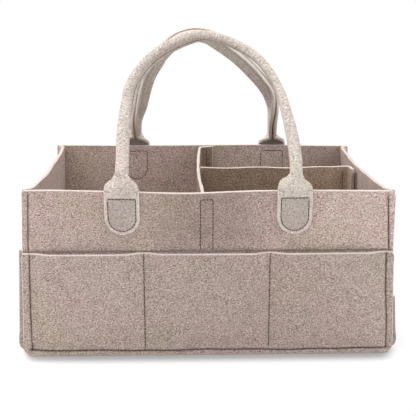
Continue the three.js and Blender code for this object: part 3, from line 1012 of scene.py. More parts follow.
@dataclass
class Dresser:
    """Gives each finished piece the material of its slot and its body, and hides the CAD nodes that it stands
    for.
    """

    stitcher: Stitcher
    finishes: Finishes
    count: int = 0

    def dress(self, piece: bpy.types.Object, slot: str, body: str | None, *nodes: str) -> bpy.types.Object:
        """Finishes one piece.

        Args:
            piece: The piece, in place.
            slot: The record's material slot.
            body: The CAD body that it rides on, or None.
            nodes: The CAD nodes that it stands for.

        Returns:
            The piece.
        """
        piece.data.materials.append(self.finishes.by_slot[slot])
        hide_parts(*nodes)
        if body:
            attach(piece, body)
        self.count += 1
        LOG.info("%s: %d faces", piece.name, len(piece.data.polygons))
        return piece

    def sew(self, seam: str, runs: list[SeamRun], body: str, pitch: float | None = None) -> None:
        """Sews the stitches of one seam, which stand for its CAD thread.

        Args:
            seam: The seam's name, without stitches or thread.
            runs: The runs to sew.
            body: The CAD body that the stitches ride on.
            pitch: The distance from one stitch to the next, or None for the usual one.
        """
        stitches = self.stitcher.sew(f"{seam}_stitches", runs, pitch)
        self.dress(stitches, "seam_thread", body, f"{seam}_thread")


@dataclass(frozen=True)
class LoopStitch:
    """The stitches that hold the loop strip on the inside of a long wall."""

    left: float = -0.0088
    right: float = 0.0042
    top: float = 0.1725
    above_pocket: float = 0.002

    def outline(self, sizes: CaddySizes) -> Line:
        """Up one side, across the top and down the other."""
        foot = sizes.pocket_rim + self.above_pocket
        return [(self.left, foot), (self.left, self.top), (self.right, self.top), (self.right, foot)]


LOOP_STITCH = LoopStitch()


@dataclass
class Shell:
    """The base, the four walls and the four pockets, with their seams.

    A waver is how far a corner seam lies beside its straight line at each height. Heights beyond the
    seam's ends mean the ends.
    """

    sizes: CaddySizes
    dresser: Dresser
    step: float = 0.005
    level_step: float = 0.006
    turn_step: float = 0.0022
    foot_fade: float = 2.4
    rim_fade: float = 3.0
    lean_from: float = 0.12
    lean_to: float = 0.03
    opens_from: float = 0.135
    base_bend: float = 0.003
    groove_overlap: float = 0.008
    # height of the painted shadow line above the pocket's rim
    rim_shadow_lift: float = 0.0004
    # how much weaker the painted edge highlight is on the short walls
    short_edge_highlight_share: float = 0.64
    # painted shade on the long walls above their pockets, most in the middle and towards the left
    above_pocket: Slope = Slope(-0.01, 0.02)
    least_painted_shade: float = 0.02
    middle_painted_shade: Swell = Swell(0.0, 0.085, 0.46)
    left_painted_shade: Slope = Slope(0.04, 0.14, 0.14)
    # painted shade on the inside of the back wall, towards its right end
    back_inside_painted_shade: Slope = Slope(0.09, 0.13, 0.16)
    # painted shade across the middle of the long pockets
    pocket_painted_shade: Swell = Swell(0.04, 0.13, 0.13)
    wall_gap: float = 0.0025
    rim_gap: float = 0.004
    pocket_gap: float = 0.001
    row_lift: float = 0.004
    inner_lift: float = 0.003
    side_gap: float = 0.006
    wall_wavers: tuple = (((0.0, 0.0), (0.0, 1.0)), ((0.0014, 0.0), (-0.0016, 1.0)))
    pocket_wavers: tuple = (
        ((0.0032, 0.0), (0.0018, 0.05), (0.0018, 1.0)),
        ((-0.0009, 0.0), (-0.0006, 0.04), (-0.0020, 0.072), (-0.0020, 1.0)))
    grain_step: float = 0.37
    base_grain: float = 5.3
    sheets: dict[str, FeltSheet] = field(default_factory=dict)

    @staticmethod
    def rounding(to_tip: np.ndarray, radius: np.ndarray | float) -> np.ndarray:
        """How deep a round corner cuts in at each distance from its tip."""
        short = np.clip(radius - to_tip, 0, radius)
        return radius - np.sqrt(np.maximum(radius ** 2 - short ** 2, 0))

    def raised_foot(self, z: np.ndarray, to_tip: np.ndarray) -> np.ndarray:
        """Lifts the lower edge of a sheet near its tip, which rounds its bottom corner.

        Args:
            z: Heights on the sheet.
            to_tip: How far each place is from the sheet's tip.

        Returns:
            The new heights.
        """
        lowest = self.rounding(to_tip, self.sizes.foot_round)
        top = self.foot_fade * self.sizes.foot_round
        return np.where(z < top, lowest + z * (top - lowest) / top, z)

    def lowered_rim(self, z: np.ndarray, to_tip: np.ndarray, height: float,
                    radius: np.ndarray) -> np.ndarray:
        """Lowers the upper edge of a sheet near its tip, which rounds its top corner.

        Args:
            z: Heights on the sheet.
            to_tip: How far each place is from the sheet's tip.
            height: The height of the rim.
            radius: The corner's radius at each place.

        Returns:
            The new heights.
        """
        fade = self.rim_fade * radius
        foot = height - fade
        return np.where(z > foot, foot + (z - foot) * (1 - self.rounding(to_tip, radius) / fade), z)

    def long_grid(self, off: float, height: float, pocket: bool) -> Grid:
        """The middle surface of a long wall or pocket, as it stands at the front.

        Args:
            off: The distance of the middle surface from the inside of the wall, where a pocket is shut.
            height: The height of its rim.
            pocket: Whether it gapes like a pocket.

        Returns:
            The places, and the flat measure along and up the sheet.
        """
        s = self.sizes
        tip = s.foot_half + s.flange
        seam = tip - s.seam_inset
        inner_seams = s.pocket_seams if pocket else (LOOP_STITCH.left, LOOP_STITCH.right)
        x = SPACING.stations(-tip, tip, self.step, [-seam, seam, *inner_seams])
        dense_z = [s.bottom_seam] if pocket else [LOOP_STITCH.top, s.pocket_rim]
        z = SPACING.stations(0.0, height, self.level_step, dense_z)
        along, up = np.meshgrid(x, z)
        to_tip = tip - np.abs(along)
        rim_round = np.where(along > 0, s.rim_round, s.rim_round / 2)
        level = self.lowered_rim(self.raised_foot(up, to_tip), to_tip, height, rim_round)
        leaning = np.interp(np.abs(along), [0, self.lean_from, tip - self.lean_to, tip], [0, 0, 1, 1])
        px = np.sign(along) * (np.abs(along) - leaning * s.lean * s.rise(level))
        reach = off + np.zeros_like(px)
        if pocket:
            ends = s.inner_half(level)
            near = np.min([np.abs(px - seam_x) for seam_x in s.pocket_seams] + [ends - np.abs(px)], axis=0)
            reach += s.pocket_gape * s.open_share(level) * ramp(near, 0, s.pocket_ramp)
        return np.stack([px, -(s.inner_depth + reach), level], -1), along, up

    def side_grid(self, off: float, height: float, flange: float, gape: float, bend: float,
                  open_corner: bool) -> Grid:
        """The middle surface of a side wall or pocket, as it stands on the right.

        Args:
            off: The distance of the middle surface from the inside of the wall.
            height: The height of its rim.
            flange: How far its turned ends reach past the corner.
            gape: How far a pocket gapes at mid depth.
            bend: The radius that it turns outwards with.
            open_corner: Whether its turns open wider towards the rim.

        Returns:
            The places, and the flat measure along and up the sheet.
        """
        s = self.sizes
        z = SPACING.stations(0.0, height, self.level_step, [s.bottom_seam])
        turns = np.linspace(0, math.pi / 2, 7)[1:-1]
        reach = flange - off - bend
        run_share = SPACING.stations(0.0, reach, self.turn_step) / reach
        wall_share = SPACING.stations(-s.inner_depth, s.inner_depth, self.step) / s.inner_depth
        line = -s.inner_depth + off
        rows = []
        for level in z:
            inner = float(s.inner_half(level))
            opening = float(ramp(level, self.opens_from, s.rim)) if open_corner else 0.0
            round_by = bend + (s.open_bend - bend) * opening
            far = flange - s.flange_taper * level / height * (flange > s.flange)
            run = off + round_by + (far - off - round_by) * run_share
            wall = wall_share * (s.inner_depth - off - round_by)
            corner = inner + off + round_by
            half = [(inner + r, line, far - r) for r in run[::-1]]
            half += [(corner - round_by * math.sin(a), line + round_by * (1 - math.cos(a)), math.inf)
                     for a in turns]
            opened = gape * float(s.open_share(level)) * (1 - (wall / s.inner_depth) ** 2)
            face = inner - s.bow(wall, np.full_like(wall, level)) + off + opened
            path = half + [(fx, y, math.inf) for fx, y in zip(face, wall)]
            path += [(px, -py, to_tip) for px, py, to_tip in reversed(half)]
            rows.append([(px, py, float(self.raised_foot(np.array(level), np.array(to_tip))))
                         for px, py, to_tip in path])
        middle = np.array(rows)
        along = distances(middle[0][:, :2])
        return middle, *np.meshgrid(along - along[-1] / 2, z)

    def make_sheet(self, name: str, grid: Grid, side: Side, seams: list[SeamLine]) -> FeltSheet:
        """Makes one wall or pocket, turned half round where it stands at the back or on the left.

        Args:
            name: The piece's name.
            grid: Its middle surface and flat measures, as at the front or right.
            side: Where it stands.
            seams: Its sewn lines.

        Returns:
            The sheet, not yet built.
        """
        middle, along, up = grid
        if side in (Side.BACK, Side.LEFT):
            middle = middle * [-1, -1, 1]
        sheet = FeltSheet(name, middle, along, up, self.sizes.felt, seams)
        sheet.grain_seed = self.grain_step * (1 + len(self.sheets))
        self.sheets[name] = sheet
        return sheet

    def hang(self, sheet: FeltSheet, slot: str, node: str, flat: tuple[float, float]) -> None:
        """Builds one wall or pocket and dresses it.

        Args:
            sheet: The sheet.
            slot: The record's material slot.
            node: The CAD node that it stands for.
            flat: Its flat length and height; not used.
        """
        piece = self.dresser.dress(sheet.build(), slot, "caddy", node)

    def bottom_line(self, half: float, seed: float) -> Line:
        """The wavering stitch line along the foot of a pocket.

        Args:
            half: Half its length.
            seed: Moves the waver.

        Returns:
            The line in the pocket's flat measure.
        """
        along = np.linspace(-half, half, 60)
        forms = (Swell(-half, 0.012, 0.0022), Swell(half, 0.012, 0.0011),
                 Wave(0.00045, 0.023, phase=seed), Wave(0.0003, 0.009, phase=2 * seed))
        return list(zip(along, self.sizes.bottom_seam + total(forms, along)))

    def build(self) -> None:
        """Makes the base, every wall and pocket, and their stitches."""
        self.build_base()
        for seed, side in enumerate((Side.FRONT, Side.BACK)):
            self.build_long_side(side, 1.0 + seed)
        for seed, side in enumerate((Side.RIGHT, Side.LEFT)):
            self.build_short_side(side, 3.0 + seed)

    def build_base(self) -> None:
        """Makes the base: a flat panel whose edges turn down to the floor."""
        s = self.sizes
        half_x, half_y = (half - s.layer(0) for half in (s.foot_half, s.inner_depth))
        drop = s.base_top - s.felt / 2
        edges = [self.folded_edge(half, drop) for half in (half_x, half_y)]
        (px, py), down, (along, up) = (np.meshgrid(*pair) for pair in zip(*edges))
        sheet = FeltSheet("base_felt", np.stack([px, py, drop - np.maximum(*down)], -1), along, up, s.felt)
        sheet.grain_seed = self.base_grain
        piece = sheet.build()
        self.dresser.dress(piece, "wall_felt", "caddy", "base_panel")

    def folded_edge(self, half: float, drop: float) -> Grid:
        """Places across a panel whose two edges turn down: across, downwards, and in the flat.

        Args:
            half: Half the panel's size.
            drop: How far its edges turn down.

        Returns:
            The three rows of places.
        """
        bend = self.base_bend
        run = np.linspace(0, half - bend, 24)
        turns = np.linspace(0, math.pi / 2, 6)[1:]
        fall = np.linspace(bend, drop, 4)[1:]
        across = np.concatenate([run, half - bend + bend * np.sin(turns), np.full(len(fall), half)])
        down = np.concatenate([np.zeros(len(run)), bend * (1 - np.cos(turns)), fall])
        turned = half - bend + bend * np.append(turns, math.pi / 2 + fall / bend - 1)
        flat = np.concatenate([run, turned])
        return tuple(np.concatenate([sign * part[:0:-1], part])
                     for sign, part in ((-1, across), (1, down), (-1, flat)))

    def build_long_side(self, side: Side, seed: float) -> None:
        """Makes the front or back wall and pocket with their stitches.

        Args:
            side: Front or back.
            seed: Moves the waver of the stitches.
        """
        s, name = self.sizes, side.value
        tip = s.foot_half + s.flange
        seam = tip - s.seam_inset
        wall_lines, pocket_lines = self.corner_lines(seam)
        box, bottom = LOOP_STITCH.outline(s), self.bottom_line(seam, seed)
        foot = s.pocket_rim - self.groove_overlap
        grooves = [SeamLine([(line[0][0], foot), *line], Seam.CORNER) for line in wall_lines]
        # a faint crease just above the pocket's rim, darkened with painted shadow
        rim_shadow_line = [(x, s.pocket_rim + self.rim_shadow_lift) for x in (-tip, tip)]
        wall = self.make_sheet(f"{name}_wall_felt", self.long_grid(s.layer(0), s.rim, False), side,
                               [*grooves, SeamLine(box, Seam.LOOP), SeamLine(rim_shadow_line, Seam.POCKET_RIM_SHADOW)])
        # painted shade on the wall's outer face above its pocket
        wall.outer_shade = self.wall_painted_shade(wall.along, wall.up)
        # painted shade on the inside of the back wall
        if side is Side.BACK:
            wall.inner_shade = self.back_inside_painted_shade.of(-wall.along)
        self.hang(wall, "wall_felt", f"{name}_panel", (2 * tip, s.rim))
        corners = [SeamLine(line, Seam.CORNER) for line in pocket_lines]
        uprights = [SeamLine([(x, s.bottom_seam), (x, s.pocket_rim)]) for x in s.pocket_seams]
        grid = self.long_grid(s.layer(1), s.pocket_rim, True)
        pocket = self.make_sheet(f"{name}_pocket_felt", grid, side,
                                 [*corners, SeamLine(bottom, Seam.BOTTOM), *uprights])
        # painted shade on the pocket's outer face
        pocket.outer_shade = self.pocket_painted_shade.of(pocket.along)
        self.hang(pocket, "pocket_felt", f"{name}_pocket", (2 * tip, s.pocket_rim))
        self.dresser.sew(f"{name}_bottom", [pocket.track(bottom, Face.OUTER)], "caddy")
        self.dresser.sew(f"{name}_loop", [wall.track(box, Face.OUTER)], "caddy")
        ends = ("right", "left") if side is Side.BACK else ("left", "right")
        for end, x, wall_line, pocket_line in zip(ends, s.pocket_seams, wall_lines, pocket_lines):
            corner = [pocket.track(pocket_line, Face.OUTER), wall.track(wall_line, Face.OUTER)]
            self.dresser.sew(f"{name}_{end}_corner", corner, "caddy")
            outer = [(x, s.bottom_seam + self.row_lift), (x, s.pocket_rim - self.pocket_gap)]
            inner = [(x, s.base_top + self.inner_lift), (x, s.pocket_rim)]
            rows = [pocket.track(outer, Face.OUTER), wall.track(inner, Face.INNER)]
            self.dresser.sew(f"{name}_{end}_pocket", rows, "caddy")

    def corner_lines(self, seam: float) -> tuple[list[Line], list[Line]]:
        """The corner seams of a long side, left and right: above the pocket, and on the pocket.

        Args:
            seam: How far the seams lie from the middle.

        Returns:
            The two lines above the pocket and the two on it.
        """
        s = self.sizes
        spans = ((self.wall_wavers, s.pocket_rim + self.wall_gap, s.rim - self.rim_gap),
                 (self.pocket_wavers, s.bottom_seam, s.pocket_rim - self.pocket_gap))
        return tuple([[(x + off, min(max(height, low), high)) for off, height in waver]
                      for x, waver in zip((-seam, seam), wavers)] for wavers, low, high in spans)

    def wall_painted_shade(self, along: np.ndarray, up: np.ndarray) -> np.ndarray:
        """How much shade is painted on a long wall's outer face above its pocket: most in the middle, least
        at its right end.
        """
        tone_and_painted_shade = self.middle_painted_shade.of(along) + self.left_painted_shade.of(-along) + self.least_painted_shade
        return self.above_pocket.of(up - self.sizes.pocket_rim) * tone_and_painted_shade

    def build_short_side(self, side: Side, seed: float) -> None:
        """Makes the right or left wall and pocket with their stitches.

        Args:
            side: Right or left.
            seed: Moves the waver of the stitches.
        """
        s, name = self.sizes, side.value
        height = s.low_rim if side is Side.RIGHT else s.pocket_rim
        grid = self.side_grid(s.layer(0), s.rim, s.flange, 0.0, s.bend, True)
        wall = self.make_sheet(f"{name}_wall_felt", grid, side, [])
        # weaker painted edge highlight on the short walls
        wall.edge_highlight_share *= self.short_edge_highlight_share
        self.hang(wall, "wall_felt", f"{name}_panel", (2 * wall.along.max(), s.rim))
        off = s.layer(1)
        grid = self.side_grid(off, height, s.side_flange, s.side_pocket_gape, s.pocket_bend, False)
        bottom = self.bottom_line(s.inner_depth - off - self.side_gap, seed)
        pocket = self.make_sheet(f"{name}_pocket_felt", grid, side, [SeamLine(bottom, Seam.BOTTOM)])
        flat = (2 * pocket.along.max(), height)
        self.hang(pocket, "pocket_felt", f"{name}_pocket", flat)
        runs = [pocket.track(bottom, Face.OUTER)]
        on_pocket = pocket.along.max() - (s.side_flange - s.flange) - s.seam_inset
        on_wall = wall.along.max() - s.seam_inset
        for sheet, end, low, high in ((pocket, on_pocket, s.bottom_seam, height - 2 * self.pocket_gap),
                                      (wall, on_wall, height + self.rim_gap, s.rim - self.rim_gap)):
            runs += [sheet.track([(x, low), (x, high)], Face.OUTER) for x in (-end, end)]
        self.dresser.sew(f"{name}_bottom", runs, "caddy")


@dataclass(frozen=True)
class ArchPoint:
    """A place that a folded strap passes through."""

    x: float
    up: float
    width: float
    turn: float


FRONT_ARCH = tuple(ArchPoint(*row) for row in (
    (-0.0893, 0.0, 0.0146, 0), (-0.0893, 0.085, 0.0146, 0), (-0.0886, 0.21, 0.0142, -6),
    (-0.0879, 0.40, 0.0136, -14), (-0.0858, 0.544, 0.0116, -20), (-0.0813, 0.686, 0.0096, -24),
    (-0.0728, 0.774, 0.0092, -28), (-0.0616, 0.851, 0.0090, -26), (-0.0404, 0.936, 0.0090, -28),
    (-0.0183, 0.990, 0.0092, -24), (-0.0020, 1.004, 0.0090, -14), (0.0149, 0.987, 0.0090, -9),
    (0.0368, 0.932, 0.0090, -8), (0.0577, 0.843, 0.0088, -4), (0.0704, 0.740, 0.0088, -3),
    (0.0782, 0.640, 0.0090, -2), (0.0845, 0.492, 0.0118, 0), (0.0874, 0.396, 0.0126, 0),
    (0.0903, 0.228, 0.0132, 0), (0.0887, 0.085, 0.0136, 0), (0.0887, 0.0, 0.0136, 0),
))
BACK_ARCH = tuple(ArchPoint(*row) for row in (
    (-0.0893, 0.0, 0.0146, 0), (-0.0893, 0.085, 0.0146, 0), (-0.0870, 0.264, 0.0124, 16),
    (-0.0804, 0.410, 0.0100, 40), (-0.0747, 0.549, 0.0090, 50), (-0.0675, 0.683, 0.0090, 50),
    (-0.0590, 0.775, 0.0088, 50), (-0.0472, 0.884, 0.0088, 50), (-0.0297, 0.973, 0.0088, 50),
    (-0.0140, 1.000, 0.0088, 50), (0.0000, 0.990, 0.0088, 50), (0.0161, 0.929, 0.0088, 50),
    (0.0408, 0.810, 0.0088, 50), (0.0611, 0.681, 0.0088, 52), (0.0769, 0.547, 0.0088, 48),
    (0.0839, 0.406, 0.0088, 20), (0.0858, 0.260, 0.0090, 4), (0.0880, 0.085, 0.0094, 0),
    (0.0880, 0.0, 0.0096, 0),
))


@dataclass
class Handle:
    """One carrying handle: a strip of felt with a round tab at each end, folded in two between them."""

    sizes: CaddySizes
    dresser: Dresser
    walls: dict[str, FeltSheet]
    front: bool
    width: float = 0.036
    tab_length: float = 0.038
    hinge_drop: float = 0.008
    straight: float = 0.085
    shoulder: float = 0.0065
    shoulder_power: float = 2.2
    fold_length: float = 0.018
    rise: float = 0.1575
    grip_gap: float = 0.0209
    crown: float = 0.0075
    raw_gap: float = 0.00215
    least_nose: float = 0.0004
    seam_inset: float = 0.0045
    seam_turn: float = 0.0018
    flare: float = 14.0
    thread_inset: float = 0.0038
    thread_lift: float = 0.0008
    tab_pitch: float = 0.0036
    closing_gap: float = 0.004
    bend_below: float = 0.005
    bend_above: float = 0.009
    columns: int = 41
    tab_step: float = 0.0012
    shoulder_start: float = 0.0014
    shoulder_end: float = 0.001
    tangent_reach: float = 0.0025
    # painted shade: inside the tabs' stitches, lightly over the outer face, and over the whole front handle
    tab_painted_shade: float = 0.48
    tab_shade_fade: float = 0.001
    outer_shade: float = 0.06
    front_shade: float = 0.17
    grains: tuple[float, float] = (9.1, 11.7)

    @property
    def name(self) -> str:
        """The side that the handle is on."""
        return "front" if self.front else "back"

    @property
    def arch_points(self) -> tuple[ArchPoint, ...]:
        """The places that this handle passes through."""
        return FRONT_ARCH if self.front else BACK_ARCH

    @property
    def plane(self) -> float:
        """How far the tabs' middle surface lies from the caddy's middle."""
        return self.sizes.inner_depth + self.sizes.layer(1)

    @property
    def crease(self) -> float:
        """The distance from a tab's foot to where the strip starts to fold."""
        return self.tab_length + self.shoulder

    def arch(self) -> np.ndarray:
        """The handle's line from its left tab over the grip to its right one, before any mirroring.

        Returns:
            Rows of x, y, z, the folded strap's width and its turn.
        """
        hinge = self.sizes.rim - self.hinge_drop + self.sizes.gap / 2
        reach = self.plane - self.grip_gap / 2
        rows = []
        for point in self.arch_points:
            inward = max(0.0, (point.up - self.straight) / (1 - self.straight))
            place = (point.x, -self.plane + reach * inward, hinge + self.rise * point.up)
            rows.append((*place, point.width, point.turn))
        return centripetal(np.array(rows))

    def rows(self, length: float) -> np.ndarray:
        """Distances along the strip from one tab's foot to the other's, close together at the folds.

        Args:
            length: The strip's length between its tabs.

        Returns:
            The distances in rising order.
        """
        tab = SPACING.stations(0.0, self.tab_length, self.tab_step)
        closed = self.crease + self.fold_length
        shoulder = np.linspace(self.tab_length + self.shoulder_start, self.crease - self.shoulder_end, 5)
        first = np.concatenate([tab, shoulder, np.linspace(self.crease, closed, 26)])
        total_length = length + 2 * self.tab_length
        grip = np.linspace(closed, total_length - closed, 130)[1:-1]
        return np.concatenate([first, grip, total_length - first[::-1]])

    def headings(self, width: float) -> tuple[np.ndarray, np.ndarray]:
        """The closed fold as headings: round the nose, straight in to the seam, then open to the raw edges.

        Args:
            width: The folded strap's width.

        Returns:
            Distances from the strip's middle to its raw edge, and the heading at each.
        """
        half = self.width / 2
        radius = max(width / 2 - self.sizes.felt / 2, self.least_nose)
        reach = np.linspace(0, half, 241)
        seam = half - self.seam_inset

        def too_wide(angle: float) -> bool:
            """Whether the layers stay too far apart at the seam.

            Args:
                angle: How far the nose turns.

            Returns:
                True if they do.
            """
            heading = self.heading(reach, radius, angle, seam)
            place = np.concatenate([[0], np.cumsum(np.cos(heading[1:]) * np.diff(reach))])
            return np.interp(seam, reach, place) > self.raw_gap

        angle = bisected(math.pi / 2, math.pi, too_wide, 30)
        return reach, self.heading(reach, radius, angle, seam)

    def heading(self, reach: np.ndarray, radius: float, angle: float, seam: float) -> np.ndarray:
        """The heading at each distance from the strip's middle, for one angle of the nose.

        Args:
            reach: Distances from the strip's middle.
            radius: The nose's radius.
            angle: How far the nose turns.
            seam: The seam's distance from the strip's middle.

        Returns:
            The heading at each distance.
        """
        nose = np.minimum(reach / radius, angle)
        open_angle = math.pi / 2 - math.radians(self.flare)
        return nose + (open_angle - nose) * ramp(reach, seam - self.seam_turn, seam + self.seam_turn)

    def section(self, fold: float, width: float) -> tuple[np.ndarray, np.ndarray]:
        """The strip's cross-section: flat at 0, and at 1 folded in two with its layers sewn together.

        Args:
            fold: How far it is folded.
            width: The folded strap's width.

        Returns:
            Places across the strip, and how far each has bent towards the raw edges.
        """
        across = np.linspace(-self.width / 2, self.width / 2, self.columns)
        reach, heading = self.headings(width)
        step = np.diff(reach, prepend=0)
        x = np.cumsum(np.cos(heading * fold) * step)
        y = np.cumsum(np.sin(heading * fold) * step)
        side = np.abs(across)
        return np.sign(across) * np.interp(side, reach, x), np.interp(side, reach, y) - self.crown * fold

    def fold_for(self, share: float, width: float) -> float:
        """How far the strip is folded where it has closed by a share of the round shoulder.

        Args:
            share: 0 at the shoulder's foot and 1 at the neck.
            width: The folded strap's width.

        Returns:
            The fold that gives the shoulder's outline its quarter round.
        """
        if share <= 0 or share >= 1:
            return float(share >= 1)
        closed = width / 2
        wanted = closed + (self.width / 2 - closed) * math.sqrt(1 - share ** self.shoulder_power)

        def too_open(fold: float) -> bool:
            """Whether the folded strip is still wider than wanted."""
            return float(np.max(self.section(fold, width)[0])) + self.sizes.felt / 2 * fold > wanted

        return bisected(0.0, 1.0, too_open, 14)

    def tab_flat(self, across: np.ndarray, distance: float) -> tuple[np.ndarray, np.ndarray]:
        """The places across a tab's row: a square grid drawn into the tab's round foot.

        Args:
            across: Places across the strip.
            distance: The row's distance from the tab's foot.

        Returns:
            The new places across, and the distance of each from the tab's foot.
        """
        radius = self.width / 2
        if distance >= radius:
            return across, np.full(len(across), distance)
        u, v = across / radius, (distance - radius) / radius
        return radius * u * math.sqrt(1 - v * v / 2), radius + radius * v * np.sqrt(1 - u * u / 2)

    def stitch_outline(self) -> Line:
        """The D of stitches on a tab: straight sides, a round foot and a straight top.

        Returns:
            The line in the tab's flat measure.
        """
        radius = self.width / 2 - self.thread_inset
        middle, top = self.width / 2, self.tab_length + self.thread_lift
        arc = [(radius * math.cos(a), middle - radius * math.sin(a)) for a in np.linspace(0, math.pi, 25)]
        return [(-radius, top), (radius, top), *arc, (-radius, top)]

    def build(self) -> None:
        """Makes the folded strip and its stitches."""
        line = self.arch()
        measure = distances(line[:, :3])
        length = float(measure[-1])
        total_length = length + 2 * self.tab_length
        middle, along, up = [], [], []
        for distance in self.rows(length):
            to_end = min(distance, total_length - distance)
            place = float(np.clip(distance - self.tab_length, 0, length))
            *centre, width, turn = read_line(place, measure, line)
            fold = self.fold_for((to_end - self.crease) / self.fold_length, width)
            x, y = self.section(fold, width)
            flat, shift = np.linspace(-self.width / 2, self.width / 2, self.columns), np.zeros(len(x))
            if to_end < self.tab_length:
                x, reached = self.tab_flat(x, to_end)
                shift = (reached - to_end) * (1 if distance < total_length / 2 else -1)
                flat = x
            tangent = self.tangent(line, measure, place)
            beyond = distance - self.tab_length - place
            across, depth = self.turned_frame(tangent, math.radians(turn))
            middle.append(np.array(centre) + x[:, None] * across + y[:, None] * depth
                          + (shift + beyond)[:, None] * tangent)
            along.append(flat)
            up.append(distance + shift)
        grid, along, up = np.array(middle), np.array(along), np.array(up)
        if not self.front:
            grid, along, up = grid[:, ::-1] * [1, -1, 1], along[:, ::-1], up[:, ::-1]
        self.finish_sheet(grid, along, up, total_length)

    @staticmethod
    def turned_frame(tangent: np.ndarray, turn: float) -> tuple[np.ndarray, np.ndarray]:
        """The directions across the strip and towards its raw edges, turned about its line.

        Args:
            tangent: The strip's direction.
            turn: The turn in radians.

        Returns:
            The two unit directions.
        """
        depth = np.array([0.0, 1.0, 0.0])
        depth -= (depth @ tangent) * tangent
        depth /= np.linalg.norm(depth)
        across = np.cross(depth, tangent)
        turned_depth = depth * math.cos(turn) + np.cross(tangent, depth) * math.sin(turn)
        turned_across = across * math.cos(turn) + np.cross(tangent, across) * math.sin(turn)
        return turned_across, turned_depth

    def tangent(self, line: np.ndarray, measure: np.ndarray, place: float) -> np.ndarray:
        """The line's direction at one place.

        Args:
            line: Rows of x, y, z and other values.
            measure: How far along the line each row is.
            place: The distance along the line.

        Returns:
            The unit direction.
        """
        near = np.clip([place - self.tangent_reach, place + self.tangent_reach], 0, measure[-1])
        start, end = read_line(near, measure, line[:, :3])
        return (end - start) / np.linalg.norm(end - start)

    def finish_sheet(self, grid: np.ndarray, along: np.ndarray, up: np.ndarray,
                     total_length: float) -> None:
        """Turns the grid into felt and sews it.

        Args:
            grid: Places of the middle surface.
            along: Flat measure across the strip.
            up: Flat measure from one tab's foot to the other's.
            total_length: The strip's length from foot to foot.
        """
        outline = self.stitch_outline()
        far = [(x, total_length - z) for x, z in outline]
        start = self.crease + self.fold_length + self.closing_gap
        row = self.width / 2 - self.seam_inset
        closing = [[(place, start), (place, total_length - start)] for place in (row, -row)]
        seams = [SeamLine(points, Seam.TAB) for points in (outline, far)]
        seams += [SeamLine(points, Seam.CLOSING) for points in closing]
        sheet = FeltSheet(f"{self.name}_handle_felt", grid, along, up, self.sizes.felt, seams)
        sheet.grain_seed = self.grains[0 if self.front else 1]
        self.shade_sheet(sheet, np.minimum(up, total_length - up))
        piece = sheet.build()
        nodes = [f"{self.name}_{end}_tab" for end in ("left", "right")] + [f"{self.name}_strap"]
        self.dresser.dress(piece, "handle_felt", None, *nodes)
        round_foot = (1 - math.pi / 4) * self.width ** 2 / 2
        self.width * total_length - 2 * round_foot
        depth = -self.plane if self.front else self.plane
        hinge = self.sizes.rim - self.hinge_drop
        body = f"{self.name}_handle"
        hinge - self.bend_below
        hinge + self.bend_above
        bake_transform(piece)
        ends = (("left", outline, 1, self.arch_points[0]), ("right", far, -1, self.arch_points[-1]))
        for end, points, rising, foot in ends:
            runs = [self.on_tab(sheet, points, rising), self.on_wall(outline, foot.x)]
            self.dresser.sew(f"{self.name}_{end}_tab", runs, "caddy", self.tab_pitch)
        for edge, points in zip(("outer", "inner"), closing):
            self.dresser.sew(f"{self.name}_strap_{edge}", [sheet.track(points, Face.OUTER)], body)

    def shade_sheet(self, sheet: FeltSheet, to_end: np.ndarray) -> None:
        """Paints shade on the handle: inside the D of stitches where each tab lies flat, where the strip
        creases into its fold, in the hollow of each shoulder on the inner face, lightly over the outer face
        and more over the whole front handle.

        Args:
            sheet: The handle's sheet.
            to_end: How far each place is from the nearer tab's foot.
        """
        # painted shade at the shoulders, inside the tabs' stitches, over the front handle and in the
        # shoulders' hollows
        shoulder_shade = Swell(self.crease, 0.014, 0.16).of(to_end) * bump(sheet.along, 0.0, 0.015)
        tab_shade = self.tab_painted_shade * self.tab_shade(sheet.along, to_end)
        sheet.shade = np.maximum(sheet.shade, self.front_shade if self.front else 0.0)
        sheet.outer_shade = np.maximum(tab_shade, shoulder_shade + self.outer_shade)
        sheet.inner_shade = Swell(self.crease, 0.011, 0.55).of(to_end)

    def on_wall(self, outline: Line, tab_x: float) -> SeamRun:
        """The same stitches as they come through on the inside of the wall.

        Args:
            outline: The stitches on the tab.
            tab_x: The middle of the tab.

        Returns:
            The run on the wall.
        """
        foot = self.sizes.rim - self.hinge_drop - self.tab_length
        mirror = 1 if self.front else -1
        line = [(mirror * (tab_x + x), foot + up) for x, up in outline]
        return self.walls[f"{self.name}_wall_felt"].track(line, Face.INNER)

    def tab_shade(self, along: np.ndarray, to_end: np.ndarray) -> np.ndarray:
        """1 inside the D of stitches on either tab, where shade is painted.

        Args:
            along: Flat measure across the strip.
            to_end: How far each place is from the nearer tab's foot.

        Returns:
            The share at each place.
        """
        radius, middle = self.width / 2 - self.thread_inset, self.width / 2
        reach = np.where(to_end < middle, np.hypot(along, to_end - middle), np.abs(along))
        inside = 1 - ramp(reach, radius - self.tab_shade_fade, radius)
        return inside * (1 - ramp(to_end, self.tab_length, self.tab_length + self.tab_shade_fade))

